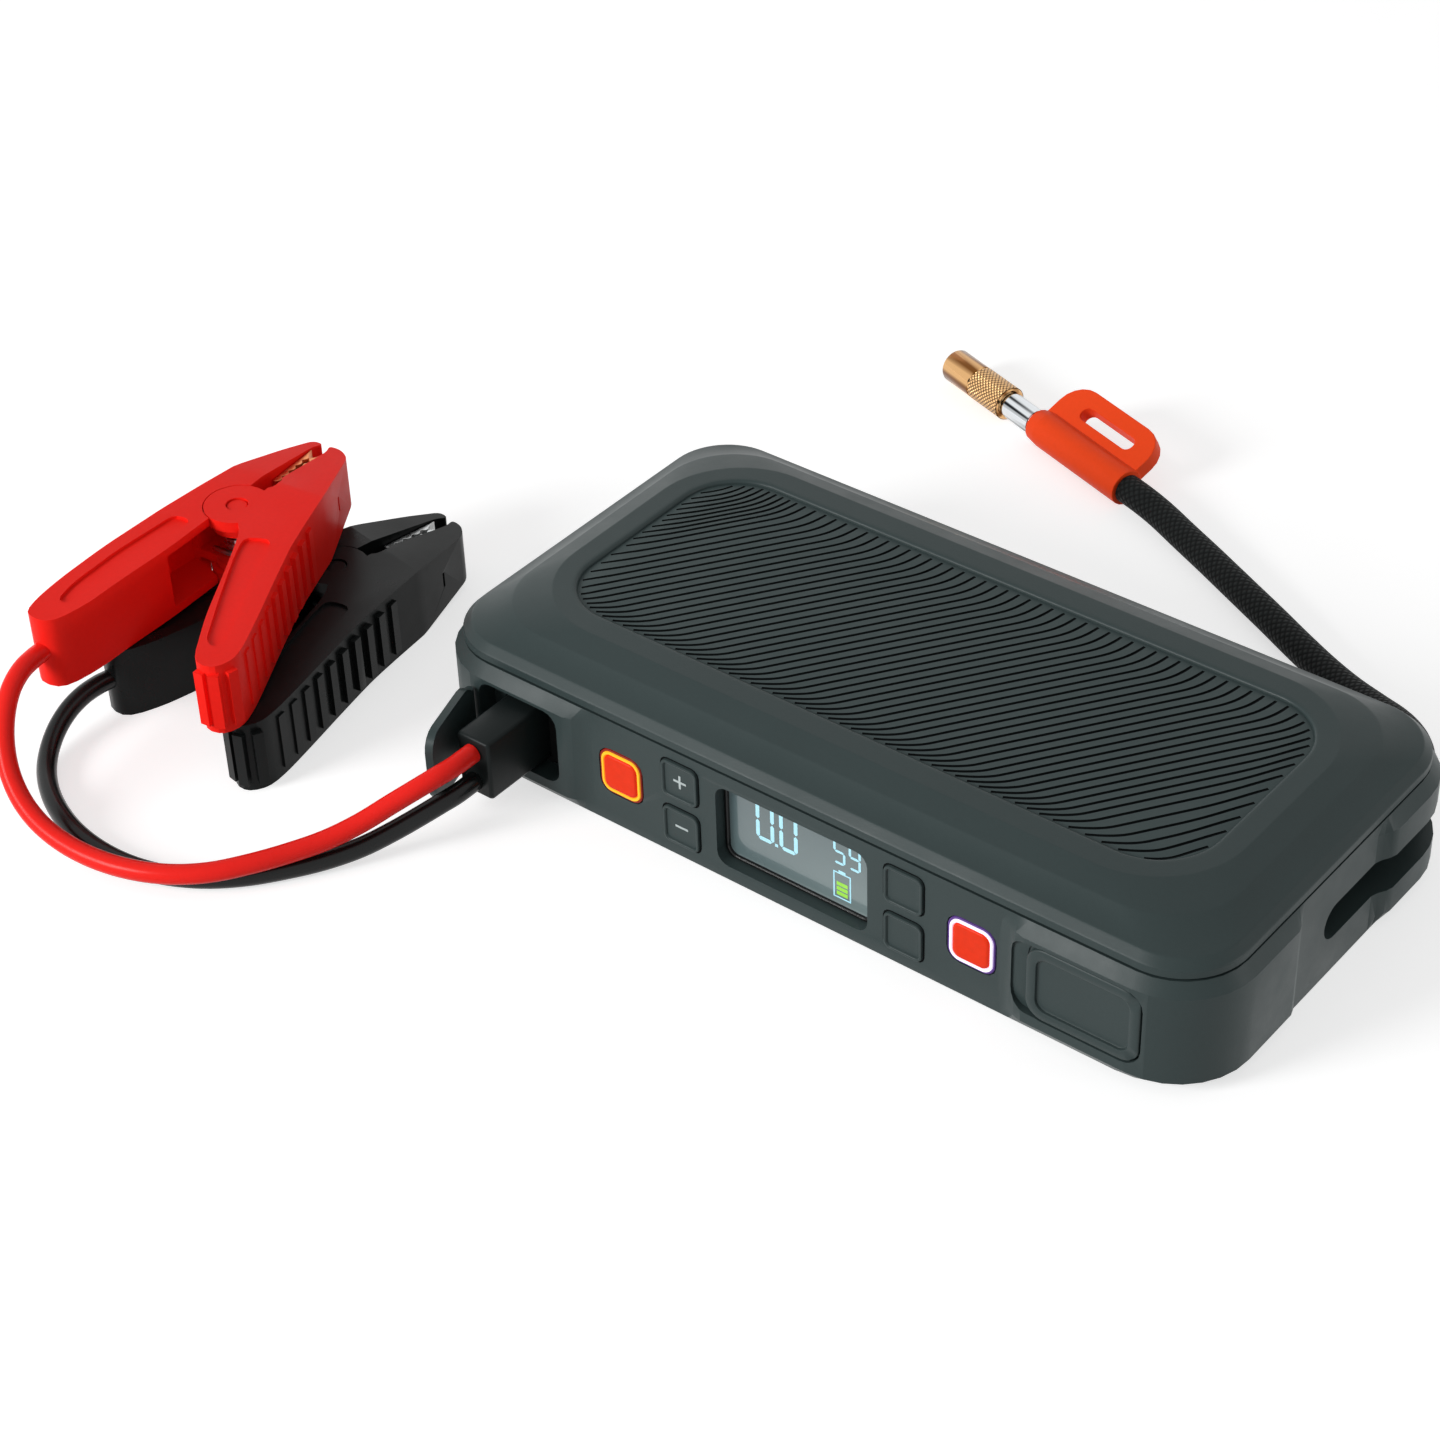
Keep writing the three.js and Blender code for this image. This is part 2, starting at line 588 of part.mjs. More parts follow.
// The hose groove runs round the back from one blind end to the other.
function grooveSpace(grow) {
  const floorX = right - GROOVE_DEPTH - grow;
  const floorY = back - GROOVE_DEPTH - grow;
  const radius = GROOVE_HEIGHT / 2 + grow;
  const low = GROOVE_Z - radius;
  const high = GROOVE_Z + radius;
  const start = GROOVE_END_Y - grow;
  const beyond = right + BEYOND;
  const slab = block([-beyond, beyond], [start + radius, back + BEYOND], [low, high]);
  const core = prism(roundRect(0, 0, 2 * floorX, 2 * floorY, GROOVE_CORNER), 'z', low - 1, high + 1);
  const endRight = prism(disc(start + radius, GROOVE_Z, radius), 'x', floorX, beyond);
  const endLeft = prism(disc(start + radius, GROOVE_Z, radius), 'x', -beyond, -floorX);
  return join(cut(slab, core), endRight, endLeft);
}

function consoleHoles() {
  const hole = (x, z, size, corner) => {
    const outline = roundRect(x, z, size + 2 * FIT, size + 2 * FIT, corner + FIT, 3);
    return prism(outline, 'y', front - BEYOND, insideFront + FIT);
  };
  const holes = smallButtonPlaces.map(([, x, z]) => hole(x, z, SMALL_BUTTON, SMALL_BUTTON_CORNER));
  holes.push(hole(START_BUTTON_X, BIG_BUTTON_Z, BIG_BUTTON, BIG_BUTTON_CORNER));
  holes.push(hole(POWER_BUTTON_X, BIG_BUTTON_Z, BIG_BUTTON, BIG_BUTTON_CORNER));
  return holes;
}

function caseOutline(inset) {
  return roundRect(0, 0, BODY_LENGTH - 2 * inset, BODY_WIDTH - 2 * inset, SEAM_CORNER - inset, 6);
}

function displayOutline(grow) {
  return roundRect(DISPLAY_X, DISPLAY_Z, DISPLAY_WIDTH + 2 * grow, DISPLAY_HEIGHT + 2 * grow,
    DISPLAY_CORNER + grow);
}

function portOutline(grow) {
  return roundRect(PORT_X, PORT_Z, PORT_WIDTH + 2 * grow, PORT_HEIGHT + 2 * grow, PORT_CORNER + grow);
}

function socketOutline(grow) {
  return roundRect(plugX, plugZ, SOCKET_WIDTH + 2 * grow, SOCKET_HEIGHT + 2 * grow, SOCKET_CORNER + grow);
}

function doorOutline(left, grow) {
  return roundRect((left + doorRight) / 2, DOOR_Z, doorRight - left + 2 * grow, DOOR_HEIGHT + 2 * grow,
    DOOR_CORNER);
}

function usbOutline(grow) {
  return roundRect(usbX, DOOR_Z, USB_BLOCK_WIDTH + 2 * grow, USB_BLOCK_HEIGHT + 2 * grow,
    USB_BLOCK_CORNER + grow);
}

function caseShell() {
  const outer = loft([
    bodyRing(0, BASE_CHAMFER, BASE_CORNER), bodyRing(BASE_CHAMFER, 0, BASE_CORNER),
    bodyRing(SWELL_FOOT, 0, SEAM_CORNER, SWELL), bodyRing(CASE_HEIGHT - SWELL_BAND, 0, SEAM_CORNER, SWELL),
    bodyRing(CASE_HEIGHT, 0, SEAM_CORNER, 0),
  ]);
  const cavity = prism(caseOutline(WALL), 'z', FLOOR, CASE_HEIGHT + BEYOND);
  const sealSeat = prism(caseOutline(LIP), 'z', sealFloor, CASE_HEIGHT + BEYOND);
  const walls = [
    grooveSpace(GROOVE_WALL),
    prism(portOutline(PORT_WALL), 'y', proudFront, proudFront + PORT_DEPTH + WALL),
    prism(displayOutline(DISPLAY_FRAME), 'y', front + WALL / 2, front + DISPLAY_DEPTH - FIT),
    prism(usbOutline(USB_FRAME), 'y', proudFront + WALL, usbFront + USB_BLOCK_DEPTH / 2),
  ].map((wall) => wall.intersect(outer));
  const posts = bossPlaces.map(([, x, y]) => boss(x, y, FLOOR - FIT, CASE_HEIGHT));
  return join(cut(join(cut(outer, cavity), ...walls), sealSeat), ...posts);
}

function boss(x, y, from, to) {
  return prism(disc(x, y, BOSS_RADIUS, 20), 'z', from, to);
}

// Screw holes, their counterbores and the seats of the feet.
function undersideHoles() {
  const holes = bossPlaces.flatMap(([, x, y]) => [
    prism(disc(x, y, SCREW_RADIUS + FIT, 14), 'z', -BEYOND, CASE_HEIGHT + BEYOND),
    prism(disc(x, y, SCREW_HEAD_RADIUS + FIT, 18), 'z', -BEYOND, SCREW_SINK + SCREW_HEAD_HEIGHT + FIT),
  ]);
  const seats = footPlaces.map(([, x, y]) =>
    prism(disc(x, y, FOOT_RADIUS + FIT), 'z', -BEYOND, FOOT_THICKNESS + FIT));
  return [...holes, ...seats];
}

function lowerCase() {
  const outside = proudFront - BEYOND;
  const doorBack = proudFront + DOOR_THICKNESS;
  const portBack = proudFront + PORT_DEPTH;
  const glandHole = disc(hoseX, GROOVE_Z, GLAND_NECK + FIT, 18);
  return cut(caseShell(), grooveSpace(0),
    prism(glandHole, 'y', GROOVE_END_Y - BEYOND, GROOVE_END_Y + GLAND_SHOULDER),
    prism(portOutline(0), 'y', outside, portBack),
    prism(socketOutline(FIT), 'y', portBack - FIT, portBack + 2 * WALL),
    prism(doorOutline(doorLeft, FIT), 'y', outside, doorBack + FIT),
    prism(doorOutline(doorLeft - THUMB_NOTCH, 0), 'y', outside, doorBack),
    prism(usbOutline(FIT), 'y', proudFront, proudFront + BEYOND),
    prism(displayOutline(0), 'y', outside, front + DISPLAY_DEPTH + FIT),
    ...consoleHoles(), ...undersideHoles());
}

// The domed skin: rim, rolled edge, shoulder and plateau.
function coverSkin() {
  const shoulder = BODY_HEIGHT - SHOULDER_DROP;
  const rim = coverLow + RIM_HEIGHT;
  const between = (from, to, share) => from + (to - from) * share;
  return loft([
    bodyRing(coverLow, 0, SEAM_CORNER),
    bodyRing(rim - RIM_ROLL, RIM_EDGE / 3, SEAM_CORNER),
    bodyRing(rim, RIM_EDGE, SEAM_CORNER - RIM_EDGE),
    bodyRing(between(rim, shoulder, HOLLOW_RISE), between(RIM_EDGE, SHOULDER_INSET, 0.5), SEAM_CORNER),
    bodyRing(shoulder, SHOULDER_INSET, SHOULDER_CORNER),
    bodyRing(between(shoulder, BODY_HEIGHT, CROWN_RISE), between(PLATEAU_INSET, SHOULDER_INSET, CROWN_RISE),
      CROWN_CORNER),
    bodyRing(BODY_HEIGHT, PLATEAU_INSET, PLATEAU_CORNER),
  ]);
}

function coverHollow() {
  const inner = SEAM_CORNER - WALL;
  const rim = coverLow + RIM_HEIGHT;
  const roof = gripFloor - ROOF;
  return loft([
    bodyRing(coverLow - BEYOND, WALL, inner), bodyRing(rim - WALL, WALL + RIM_EDGE / 3, inner),
    bodyRing(BODY_HEIGHT - SHOULDER_DROP - WALL - FIT, SHOULDER_INSET + WALL, inner),
    bodyRing(roof, PLATEAU_INSET + WALL, inner),
  ]);
}

function topCover() {
  const skin = coverSkin();
  const posts = bossPlaces.map(([, x, y]) => boss(x, y, coverLow, gripFloor - FIT).intersect(skin));
  const bores = bossPlaces.map(([, x, y]) =>
    prism(disc(x, y, SCREW_RADIUS + FIT, 14), 'z', coverLow - BEYOND, screwTip + FIT));
  const gripOutline = roundRect(0, 0, gripLength, GRIP_WIDTH, GRIP_CORNER, 8);
  const gripSeat = prism(gripOutline, 'z', gripFloor, BODY_HEIGHT + BEYOND);
  return cut(join(cut(skin, coverHollow()), ...posts), ...bores, gripSeat);
}

function seamSeal() {
  const low = sealFloor + FIT;
  const outer = prism(caseOutline(LIP + FIT), 'z', low, coverLow - FIT);
  return cut(outer, prism(caseOutline(WALL), 'z', low - BEYOND, coverLow));
}

function gripPanel() {
  const outline = roundRect(0, 0, gripLength - 2 * FIT, GRIP_WIDTH - 2 * FIT, GRIP_CORNER - FIT, 8);
  return prism(outline, 'z', gripFloor + FIT, gripFloor + FIT + GRIP_THICKNESS);
}

function caseScrew([name, x, y]) {
  const head = SCREW_SINK + SCREW_HEAD_HEIGHT;
  const profile = [
    [0, SCREW_SINK], [SCREW_HEAD_RADIUS, SCREW_SINK], [SCREW_HEAD_RADIUS, head], [SCREW_RADIUS, head],
    [SCREW_RADIUS, screwTip - SCREW_RADIUS], [0, screwTip],
  ];
  return piece(`case_screw_${name}`, turned(profile, 'z', [x, y, 0], 14), steel());
}

function rubberFoot([name, x, y]) {
  const foot = prism(disc(x, y, FOOT_RADIUS), 'z', 0, FOOT_THICKNESS);
  return piece(`rubber_foot_${name}`, foot, blackRubber());
}

// ---------------------------------------------------------------- console

function buttonBody(x, z, size, corner, flangeFront) {
  const square = (width, from, to) => prism(roundRect(x, z, width, width, corner, 3), 'y', from, to);
  const cap = square(size, front - BUTTON_PROUD, flangeFront + FIT);
  const flange = square(size + 2 * FLANGE, flangeFront, flangeFront + FLANGE_THICKNESS);
  const stem = prism(disc(x, z, STEM_RADIUS, 12), 'y', flangeFront, controlBoardFront - BUTTON_TRAVEL - FIT);
  return join(cap, flange, stem);
}

function smallButton([name, x, z]) {
  const body = buttonBody(x, z, SMALL_BUTTON, SMALL_BUTTON_CORNER, insideFront + FIT);
  return piece(name, body, slateLight());
}

function bigButton(name, x) {
  const size = BIG_BUTTON - 2 * (LIGHT_RING_WIDTH + FIT);
  const corner = BIG_BUTTON_CORNER - LIGHT_RING_WIDTH;
  const flangeFront = insideFront + FIT + FLANGE_THICKNESS + FIT;
  return piece(name, buttonBody(x, BIG_BUTTON_Z, size, corner, flangeFront), orange());
}

function lightRing(name, x, material) {
  const square = (size, corner, from, to) =>
    prism(roundRect(x, BIG_BUTTON_Z, size, size, corner, 3), 'y', from, to);
  const seat = insideFront + FIT;
  const bore = BIG_BUTTON - 2 * LIGHT_RING_WIDTH;
  const ring = square(BIG_BUTTON, BIG_BUTTON_CORNER, front - RING_PROUD, seat + FIT);
  const flange = square(BIG_BUTTON + 2 * FLANGE, BIG_BUTTON_CORNER, seat, seat + FLANGE_THICKNESS);
  const hole = square(bore, BIG_BUTTON_CORNER - LIGHT_RING_WIDTH, front - BEYOND, seat + BEYOND);
  return piece(name, cut(join(ring, flange), hole), material());
}

// The display's parts reach behind the pocket's edge, clear of the floor.
function displayPart(from, to) {
  const height = Math.min(DISPLAY_HEIGHT + 2 * DISPLAY_BORDER, 2 * (DISPLAY_Z - FLOOR - FIT));
  const outline = roundRect(DISPLAY_X, DISPLAY_Z, DISPLAY_WIDTH + 2 * DISPLAY_BORDER, height,
    DISPLAY_CORNER + DISPLAY_BORDER);
  return prism(outline, 'y', from, to);
}

function displayLens() {
  const at = front + DISPLAY_DEPTH;
  return displayPart(at, at + LENS_THICKNESS);
}

function displayModule() {
  const at = front + DISPLAY_DEPTH + LENS_THICKNESS + FIT;
  return displayPart(at, controlBoardFront - FIT);
}

function controlBoard() {
  const middle = (CONSOLE_LEFT + CONSOLE_RIGHT) / 2;
  const outline = roundRect(middle, DISPLAY_Z, CONSOLE_RIGHT - CONSOLE_LEFT, DISPLAY_HEIGHT, BOARD_CORNER, 1);
  return prism(outline, 'y', controlBoardFront, controlBoardFront + BOARD_THICKNESS);
}

// ---------------------------------------------------------------- USB port

function usbDoor() {
  const low = doorLow + DOOR_CORNER;
  const high = doorHigh - DOOR_CORNER;
  const panel = prism(doorOutline(doorLeft + FIT, 0), 'y', proudFront, proudFront + DOOR_THICKNESS);
  const sunken = roundRect((doorLeft + FIT + doorRight) / 2, DOOR_Z, DOOR_WIDTH - FIT - 2 * DOOR_RIM,
    DOOR_HEIGHT - 2 * DOOR_RIM, DOOR_CORNER - DOOR_RIM / 2);
  const trim = (left, from, to) =>
    block([left, left + BEYOND], [proudFront - BEYOND, proudFront + BEYOND], [from, to]);
  const corners = [
    trim(doorHingeX - HINGE_RELIEF, doorLow - BEYOND, low),
    trim(doorHingeX - HINGE_RELIEF, high, doorHigh + BEYOND),
  ];
  const knuckle = prism(disc(doorHingeX, proudFront + KNUCKLE_RADIUS, KNUCKLE_RADIUS, 16), 'z', low, high);
  return cut(join(cut(panel, trim(doorHingeX, low - FIT, high + FIT), ...corners), knuckle),
    prism(sunken, 'y', proudFront - BEYOND, proudFront + DOOR_SINK));
}

function usbBlock() {
  const socket = (z, width, height) => {
    const outline = roundRect(usbX, z, width + 2 * FIT, height + 2 * FIT, USB_HOLE_CORNER, 2);
    return prism(outline, 'y', usbFront - BEYOND, usbFront + USB_DEPTH + FIT);
  };
  const body = prism(usbOutline(0), 'y', usbFront, usbFront + USB_BLOCK_DEPTH);
  return cut(body, socket(usbAZ, USB_A_WIDTH, USB_A_HEIGHT), socket(usbCZ, USB_C_WIDTH, USB_C_HEIGHT));
}

function usbSocket(z, width, height, corner, tongue) {
  const rear = usbFront + USB_DEPTH;
  const outline = (shrink) =>
    roundRect(usbX, z, width - 2 * shrink, height - 2 * shrink, corner - shrink, 2);
  const mouth = prism(outline(USB_SHELL), 'y', usbFront - BEYOND, rear - USB_BACK);
  const half = width / 2 - USB_TONGUE_MARGIN;
  const tab = block([usbX - half, usbX + half], [usbFront + USB_TONGUE_SINK, rear - USB_BACK / 2],
    [z - tongue / 2, z + tongue / 2]);
  return join(cut(prism(outline(0), 'y', usbFront, rear), mouth), tab);
}

// ---------------------------------------------------------------- jump port and plug

function contactBore(side, from, to) {
  return prism(disc(plugX, plugZ + side * CONTACT_SPACING / 2, CONTACT_RADIUS + FIT, 16), 'y', from, to);
}

function jumpSocket() {
  const rear = socketFront + SOCKET_DEPTH;
  const nose = roundRect(plugX, plugZ, PLUG_WIDTH + 2 * FIT, PLUG_HEIGHT + 2 * FIT, PLUG_CORNER + FIT, 2);
  const bores = [1, -1].map((side) => contactBore(side, socketFront, rear + BEYOND));
  return cut(prism(socketOutline(0), 'y', socketFront, rear),
    prism(nose, 'y', socketFront - BEYOND, plugTip + FIT), ...bores);
}

function jumpPlug() {
  const outline = roundRect(plugX, plugZ, PLUG_WIDTH, PLUG_HEIGHT, PLUG_CORNER, 2);
  const bores = [1, -1].map((side) => contactBore(side, contactRear - FIT, plugTip + BEYOND));
  return cut(prism(outline, 'y', plugRear, plugTip), ...bores);
}

function plugContact(side) {
  const profile = [
    [0, 0], [CONTACT_RADIUS, 0], [CONTACT_RADIUS, CONTACT_LENGTH - CONTACT_TAPER],
    [CONTACT_RADIUS - CONTACT_TAPER, CONTACT_LENGTH], [0, CONTACT_LENGTH],
  ];
  const z = plugZ + side * CONTACT_SPACING / 2;
  return turned(profile, 'y', [plugX, contactRear, z], 16);
}

// Built closed along +X from its hinge, then swung open.
function portCover() {
  const height = PORT_HEIGHT - 2 * FIT;
  const half = COVER_THICKNESS / 2;
  const spine = height / 2 - COVER_CORNER / 2;
  const panel = prism(roundRect(COVER_LENGTH / 2, 0, COVER_LENGTH, height, COVER_CORNER), 'y', -half, half);
  const strip = block([0, COVER_CORNER], [-half, half], [-spine, spine]);
  const knuckle = prism(disc(0, 0, COVER_KNUCKLE, 16), 'z', -spine, spine);
  const mesh = piece('port_cover', join(panel, strip, knuckle), slateLight());
  mesh.position.set(coverHingeX, proudFront - COVER_HINGE_OUT, PORT_Z);
  mesh.rotation.z = -THREE.MathUtils.degToRad(COVER_OPEN);
  return mesh;
}

// ---------------------------------------------------------------- clamps

// Half outlines seen from above, from the jaw tip down the outside and back up the inside.
const CABLE_HALF = [
  [-0.9, JAW_TIP_Y], [-4.6, JAW_TIP_Y], [-8, 30], [-12, 16.5], [-14.4, 2.5], [-16.4, -11.5],
  [-18.4, -33], [-18.8, -50], [-18.2, -60], [-16.4, -66.6], [-8, -66.6], [-5.2, -56], [-4.6, -44],
  [-3, -27], [-JAW_FACE, -9.4], [-JAW_FACE, 9.4], [-JAW_FACE, 36],
];
const MOVING_HALF = [
  [0.9, JAW_TIP_Y], [5, JAW_TIP_Y], [9.2, 36.2], [18, 14.5], [21, 4], [25, -9], [31, -24], [36, -36],
  [41.2, -49], [43, -56], [40.4, -61.4], [34.4, -61.4], [25, -44.5], [16.6, -26], [8.6, -9.4],
  [JAW_FACE, -4], [JAW_FACE, 9.4], [JAW_FACE, 36],
];
const CABLE_CHANNEL = [
  [-1, 9], [-10.4, 9], [-11.9, 2.5], [-13.9, -11.5], [-15.9, -33], [-16.2, -50], [-15.4, -57],
  [-9.4, -57], [-7.2, -44], [-5.8, -27], [8, -22],
];
const MOVING_CHANNEL = [
  [1, 9], [16.8, 9], [18.5, 4], [22.5, -9], [28.5, -24], [33.5, -36], [38.5, -49], [38.5, -52.5],
  [10, -52.5], [-8, -30],
];
const CABLE_RECESS = [
  [-5.6, -12], [-11.6, -12], [-14.2, -33], [-14.6, -50], [-13.2, -57.5], [-9.6, -57.5], [-7.4, -42],
];
const MOVING_RECESS = [
  [11.4, -11.5], [18.6, -8.6], [23.6, -21], [30, -36], [36.4, -50.4], [35, -54.2], [31.6, -52.6],
  [22.8, -36], [14.6, -19.6],
];
const RIB_LINE = [[21.6, 2], [41.8, -52]];
const END_RIBS = [[42.9, -57.1, -17], [40.3, -61.1, -64], [36.4, -61.6, -90]]; // place and facing, in degrees
const PAD_MIDDLE = [13.6, 25.35];
const PAD_FACING = 22; // degrees from +X
const CLAMP_SPAN = 80; // longer than a clamp half, from the pivot
const ARM_HALF = 5.5; // half the width of the inner ears' arms
const ARM_LENGTH = 14;
const WEB = [-14.5, -11]; // wall that carries the inner ears
const WEB_INSET = 1;

// Side faces that draw together towards the jaw tips.
function clampEnvelope() {
  const top = CLAMP_HEIGHT;
  const tip = JAW_TIP_Y + FIT;
  return prism([
    [-CLAMP_SPAN, 0], [JAW_TAPER_START, 0], [tip, JAW_TAPER], [tip, top - JAW_TAPER],
    [JAW_TAPER_START, top], [-CLAMP_SPAN, top],
  ], 'x', -CLAMP_SPAN, CLAMP_SPAN);
}

// An outline whose corners are curves that reach up to so far along the sides.
function softened(points, reachAt, steps = 3) {
  return points.flatMap((p, i) => {
    const at = new THREE.Vector2(...p);
    const [from, to] = [points.at(i - 1), points[(i + 1) % points.length]].map((other) => {
      const side = new THREE.Vector2(...other).sub(at);
      return side.setLength(Math.min(reachAt(p), side.length() * 0.45)).add(at);
    });
    const curve = new THREE.QuadraticBezierCurve(from, at, to);
    return curve.getPoints(steps).map((q) => [q.x, q.y]);
  });
}

// The jaw's end of an outline is rounded less than the handle's.
function clampOutline(points) {
  return softened(points, ([, v]) => (v > JAW_TAPER_START ? TIP_SOFTNESS : HANDLE_SOFTNESS));
}

function halfShell(outline, channel, recess) {
  const body = prism(clampOutline(outline), 'z', 0, CLAMP_HEIGHT).intersect(clampEnvelope());
  const [x, y, width, length] = THROAT;
  const throat = roundRect(x, y, width, length, THROAT_CORNER);
  const recesses = atBothSides((at, sign) => {
    const [low, high] = levels(at, sign, -BEYOND, RECESS_DEPTH);
    return prism(softened(recess, () => RECESS_SOFTNESS), 'z', low, high);
  });
  return cut(body, prism(channel, 'z', CLAMP_SHELL, CLAMP_HEIGHT - CLAMP_SHELL),
    prism(throat, 'z', -BEYOND, CLAMP_HEIGHT + BEYOND), ...recesses);
}

function atBothSides(make) {
  return [make(0, 1), make(CLAMP_HEIGHT, -1)];
}

function levels(at, sign, from, to) {
  return sign > 0 ? [at + from, at + to] : [at - to, at - from];
}

function pinHole() {
  return prism(disc(0, 0, PIN_RADIUS + FIT, 16), 'z', -BEYOND, CLAMP_HEIGHT + BEYOND);
}

function cableHandle() {
  const inner = PIVOT_EAR + FIT;
  const innerEars = atBothSides((at, sign) => {
    const [low, high] = levels(at, sign, inner, inner + INNER_EAR);
    const arm = block([-ARM_LENGTH, 0], [-ARM_HALF, ARM_HALF], [low, high]);
    return join(prism(disc(0, 0, INNER_EAR_RADIUS), 'z', low, high), arm);
  });
  const reliefs = atBothSides((at, sign) => {
    const [low, high] = levels(at, sign, -BEYOND, inner);
    return prism(disc(0, 0, PIVOT_DISC_RADIUS + FIT, 28), 'z', low, high);
  });
  const web = block(WEB, [-ARM_HALF, ARM_HALF], [WEB_INSET, CLAMP_HEIGHT - WEB_INSET]);
  const shell = cut(halfShell(CABLE_HALF, CABLE_CHANNEL, CABLE_RECESS), ...reliefs);
  return cut(join(shell, ...innerEars, web), pinHole());
}

// A bar on the outside of the moving half, facing the way that the angle says.
function gripRib(x, y, facing) {
  const rib = new THREE.BoxGeometry(2 * RIB_HEIGHT + RIB_ROOT, RIB_WIDTH, CLAMP_HEIGHT - 2 * CLAMP_SHELL);
  rib.translate(-RIB_ROOT / 2, 0, CLAMP_HEIGHT / 2);
  return solid(rib.rotateZ(facing).translate(x, y, 0));
}

// Ribs stepped along the outside, and a few round the handle's end.
function gripRibs() {
  const [start, end] = RIB_LINE.map((p) => new THREE.Vector2(...p));
  const step = end.clone().sub(start).setLength(RIB_PITCH);
  const facing = step.angle() + Math.PI / 2;
  const row = Array.from({ length: RIB_COUNT }, (_, i) =>
    gripRib(start.x + i * step.x, start.y + i * step.y, facing));
  const round = END_RIBS.map(([x, y, turn]) => gripRib(x, y, THREE.MathUtils.degToRad(turn)));
  return [...row, ...round];
}

function padSlot() {
  const [width, height, depth] = PAD_SLOT;
  const slot = new THREE.BoxGeometry(2 * depth, width, height).rotateZ(THREE.MathUtils.degToRad(PAD_FACING));
  return solid(slot.translate(...PAD_MIDDLE, CLAMP_HEIGHT / 2));
}

function movingHandle() {
  const ears = atBothSides((at, sign) => {
    const [low, high] = levels(at, sign, 0, PIVOT_EAR);
    return prism(disc(0, 0, PIVOT_DISC_RADIUS, 28), 'z', low, high);
  });
  const shell = halfShell(MOVING_HALF, MOVING_CHANNEL, MOVING_RECESS);
  return cut(join(shell, ...ears, ...gripRibs()), pinHole(), padSlot());
}

// Jaw plate with teeth along the contact line, on the side that sign says.
function jawPlate(sign) {
  const root = JAW_CONTACT + TEETH_DEPTH;
  const flank = (TEETH_PITCH * (1 - TOOTH_LAND)) / 2;
  const points = [[JAW_FACE - FIT, TEETH_START_Y], [JAW_FACE - FIT, TEETH_END_Y]];
  const count = Math.floor((TEETH_END_Y - TEETH_START_Y) / TEETH_PITCH);
  for (let i = count; i > 0; i -= 1) {
    const y = TEETH_START_Y + i * TEETH_PITCH;
    points.push([root, y], [JAW_CONTACT, y - flank], [JAW_CONTACT, y - TEETH_PITCH + flank]);
  }
  points.push([root, TEETH_START_Y]);
  const outline = points.map(([u, v]) => [sign * u, v]);
  return prism(outline, 'z', JAW_PLATE_INSET, CLAMP_HEIGHT - JAW_PLATE_INSET);
}

function pivotPin() {
  const end = CLAMP_HEIGHT - PIN_SINK;
  return turned([[0, PIN_SINK], [PIN_RADIUS, PIN_SINK], [PIN_RADIUS, end], [0, end]], 'z', [0, 0, 0], 18);
}

// One unbroken wire: a leg, the turns by formula, and the other leg.
function springPoints() {
  const rise = CLAMP_HEIGHT - 2 * (PIVOT_EAR + INNER_EAR + 2 * FIT + SPRING_WIRE);
  const low = (CLAMP_HEIGHT - rise) / 2;
  const total = SPRING_TURNS * SPRING_STEPS;
  const turns = Array.from({ length: total + 1 }, (_, i) => {
    const angle = (i / SPRING_STEPS - 0.25) * 2 * Math.PI;
    return [SPRING_RADIUS * Math.cos(angle), SPRING_RADIUS * Math.sin(angle), low + (rise * i) / total];
  });
  const leg = (x, z) => [x, -SPRING_RADIUS, z];
  const [near, far] = SPRING_LEG;
  return [leg(-far, low), leg(-near, low), ...turns, leg(near, low + rise), leg(far, low + rise)];
}

// Least distance between turns, on points more than three quarters of a turn apart.
function springGap(points) {
  const far = Math.round((SPRING_STEPS * 3) / 4);
  let least = Infinity;
  points.forEach((p, i) => points.slice(i + far).forEach((q) => {
    least = Math.min(least, Math.hypot(p[0] - q[0], p[1] - q[1], p[2] - q[2]));
  }));
  return least - 2 * SPRING_WIRE;
}

function torsionSpring() {
  const points = springPoints();
  return tube(points, SPRING_WIRE, 5, points.length + 3);
}

function clamp(color, plastic, jawMetal, pivot, turn, lift) {
  const group = new THREE.Group();
  group.add(piece(`${color}_cable_handle`, cableHandle(), plastic()));
  group.add(piece(`${color}_moving_handle`, movingHandle(), plastic()));
  group.add(piece(`${color}_cable_jaw`, jawPlate(-1), jawMetal()));
  group.add(piece(`${color}_moving_jaw`, jawPlate(1), jawMetal()));
  group.add(piece(`${color}_pivot_pin`, pivotPin(), plastic()));
  group.add(piece(`${color}_spring`, torsionSpring(), steel()));
  group.position.set(plugX + pivot[0], plugRear + pivot[1], lift);
  group.rotation.z = THREE.MathUtils.degToRad(turn);
  return group;
}

// ---------------------------------------------------------------- hose and its end

// The chosen route, its climb drawn to the gland's height.
function hoseRoute() {
  const climb = (GROOVE_Z - HOSE_REST) / (HOSE_ROUTE[0][2] - HOSE_REST);
  return HOSE_ROUTE.map(([x, y, z]) => [x, y, HOSE_REST + (z - HOSE_REST) * climb]);
}

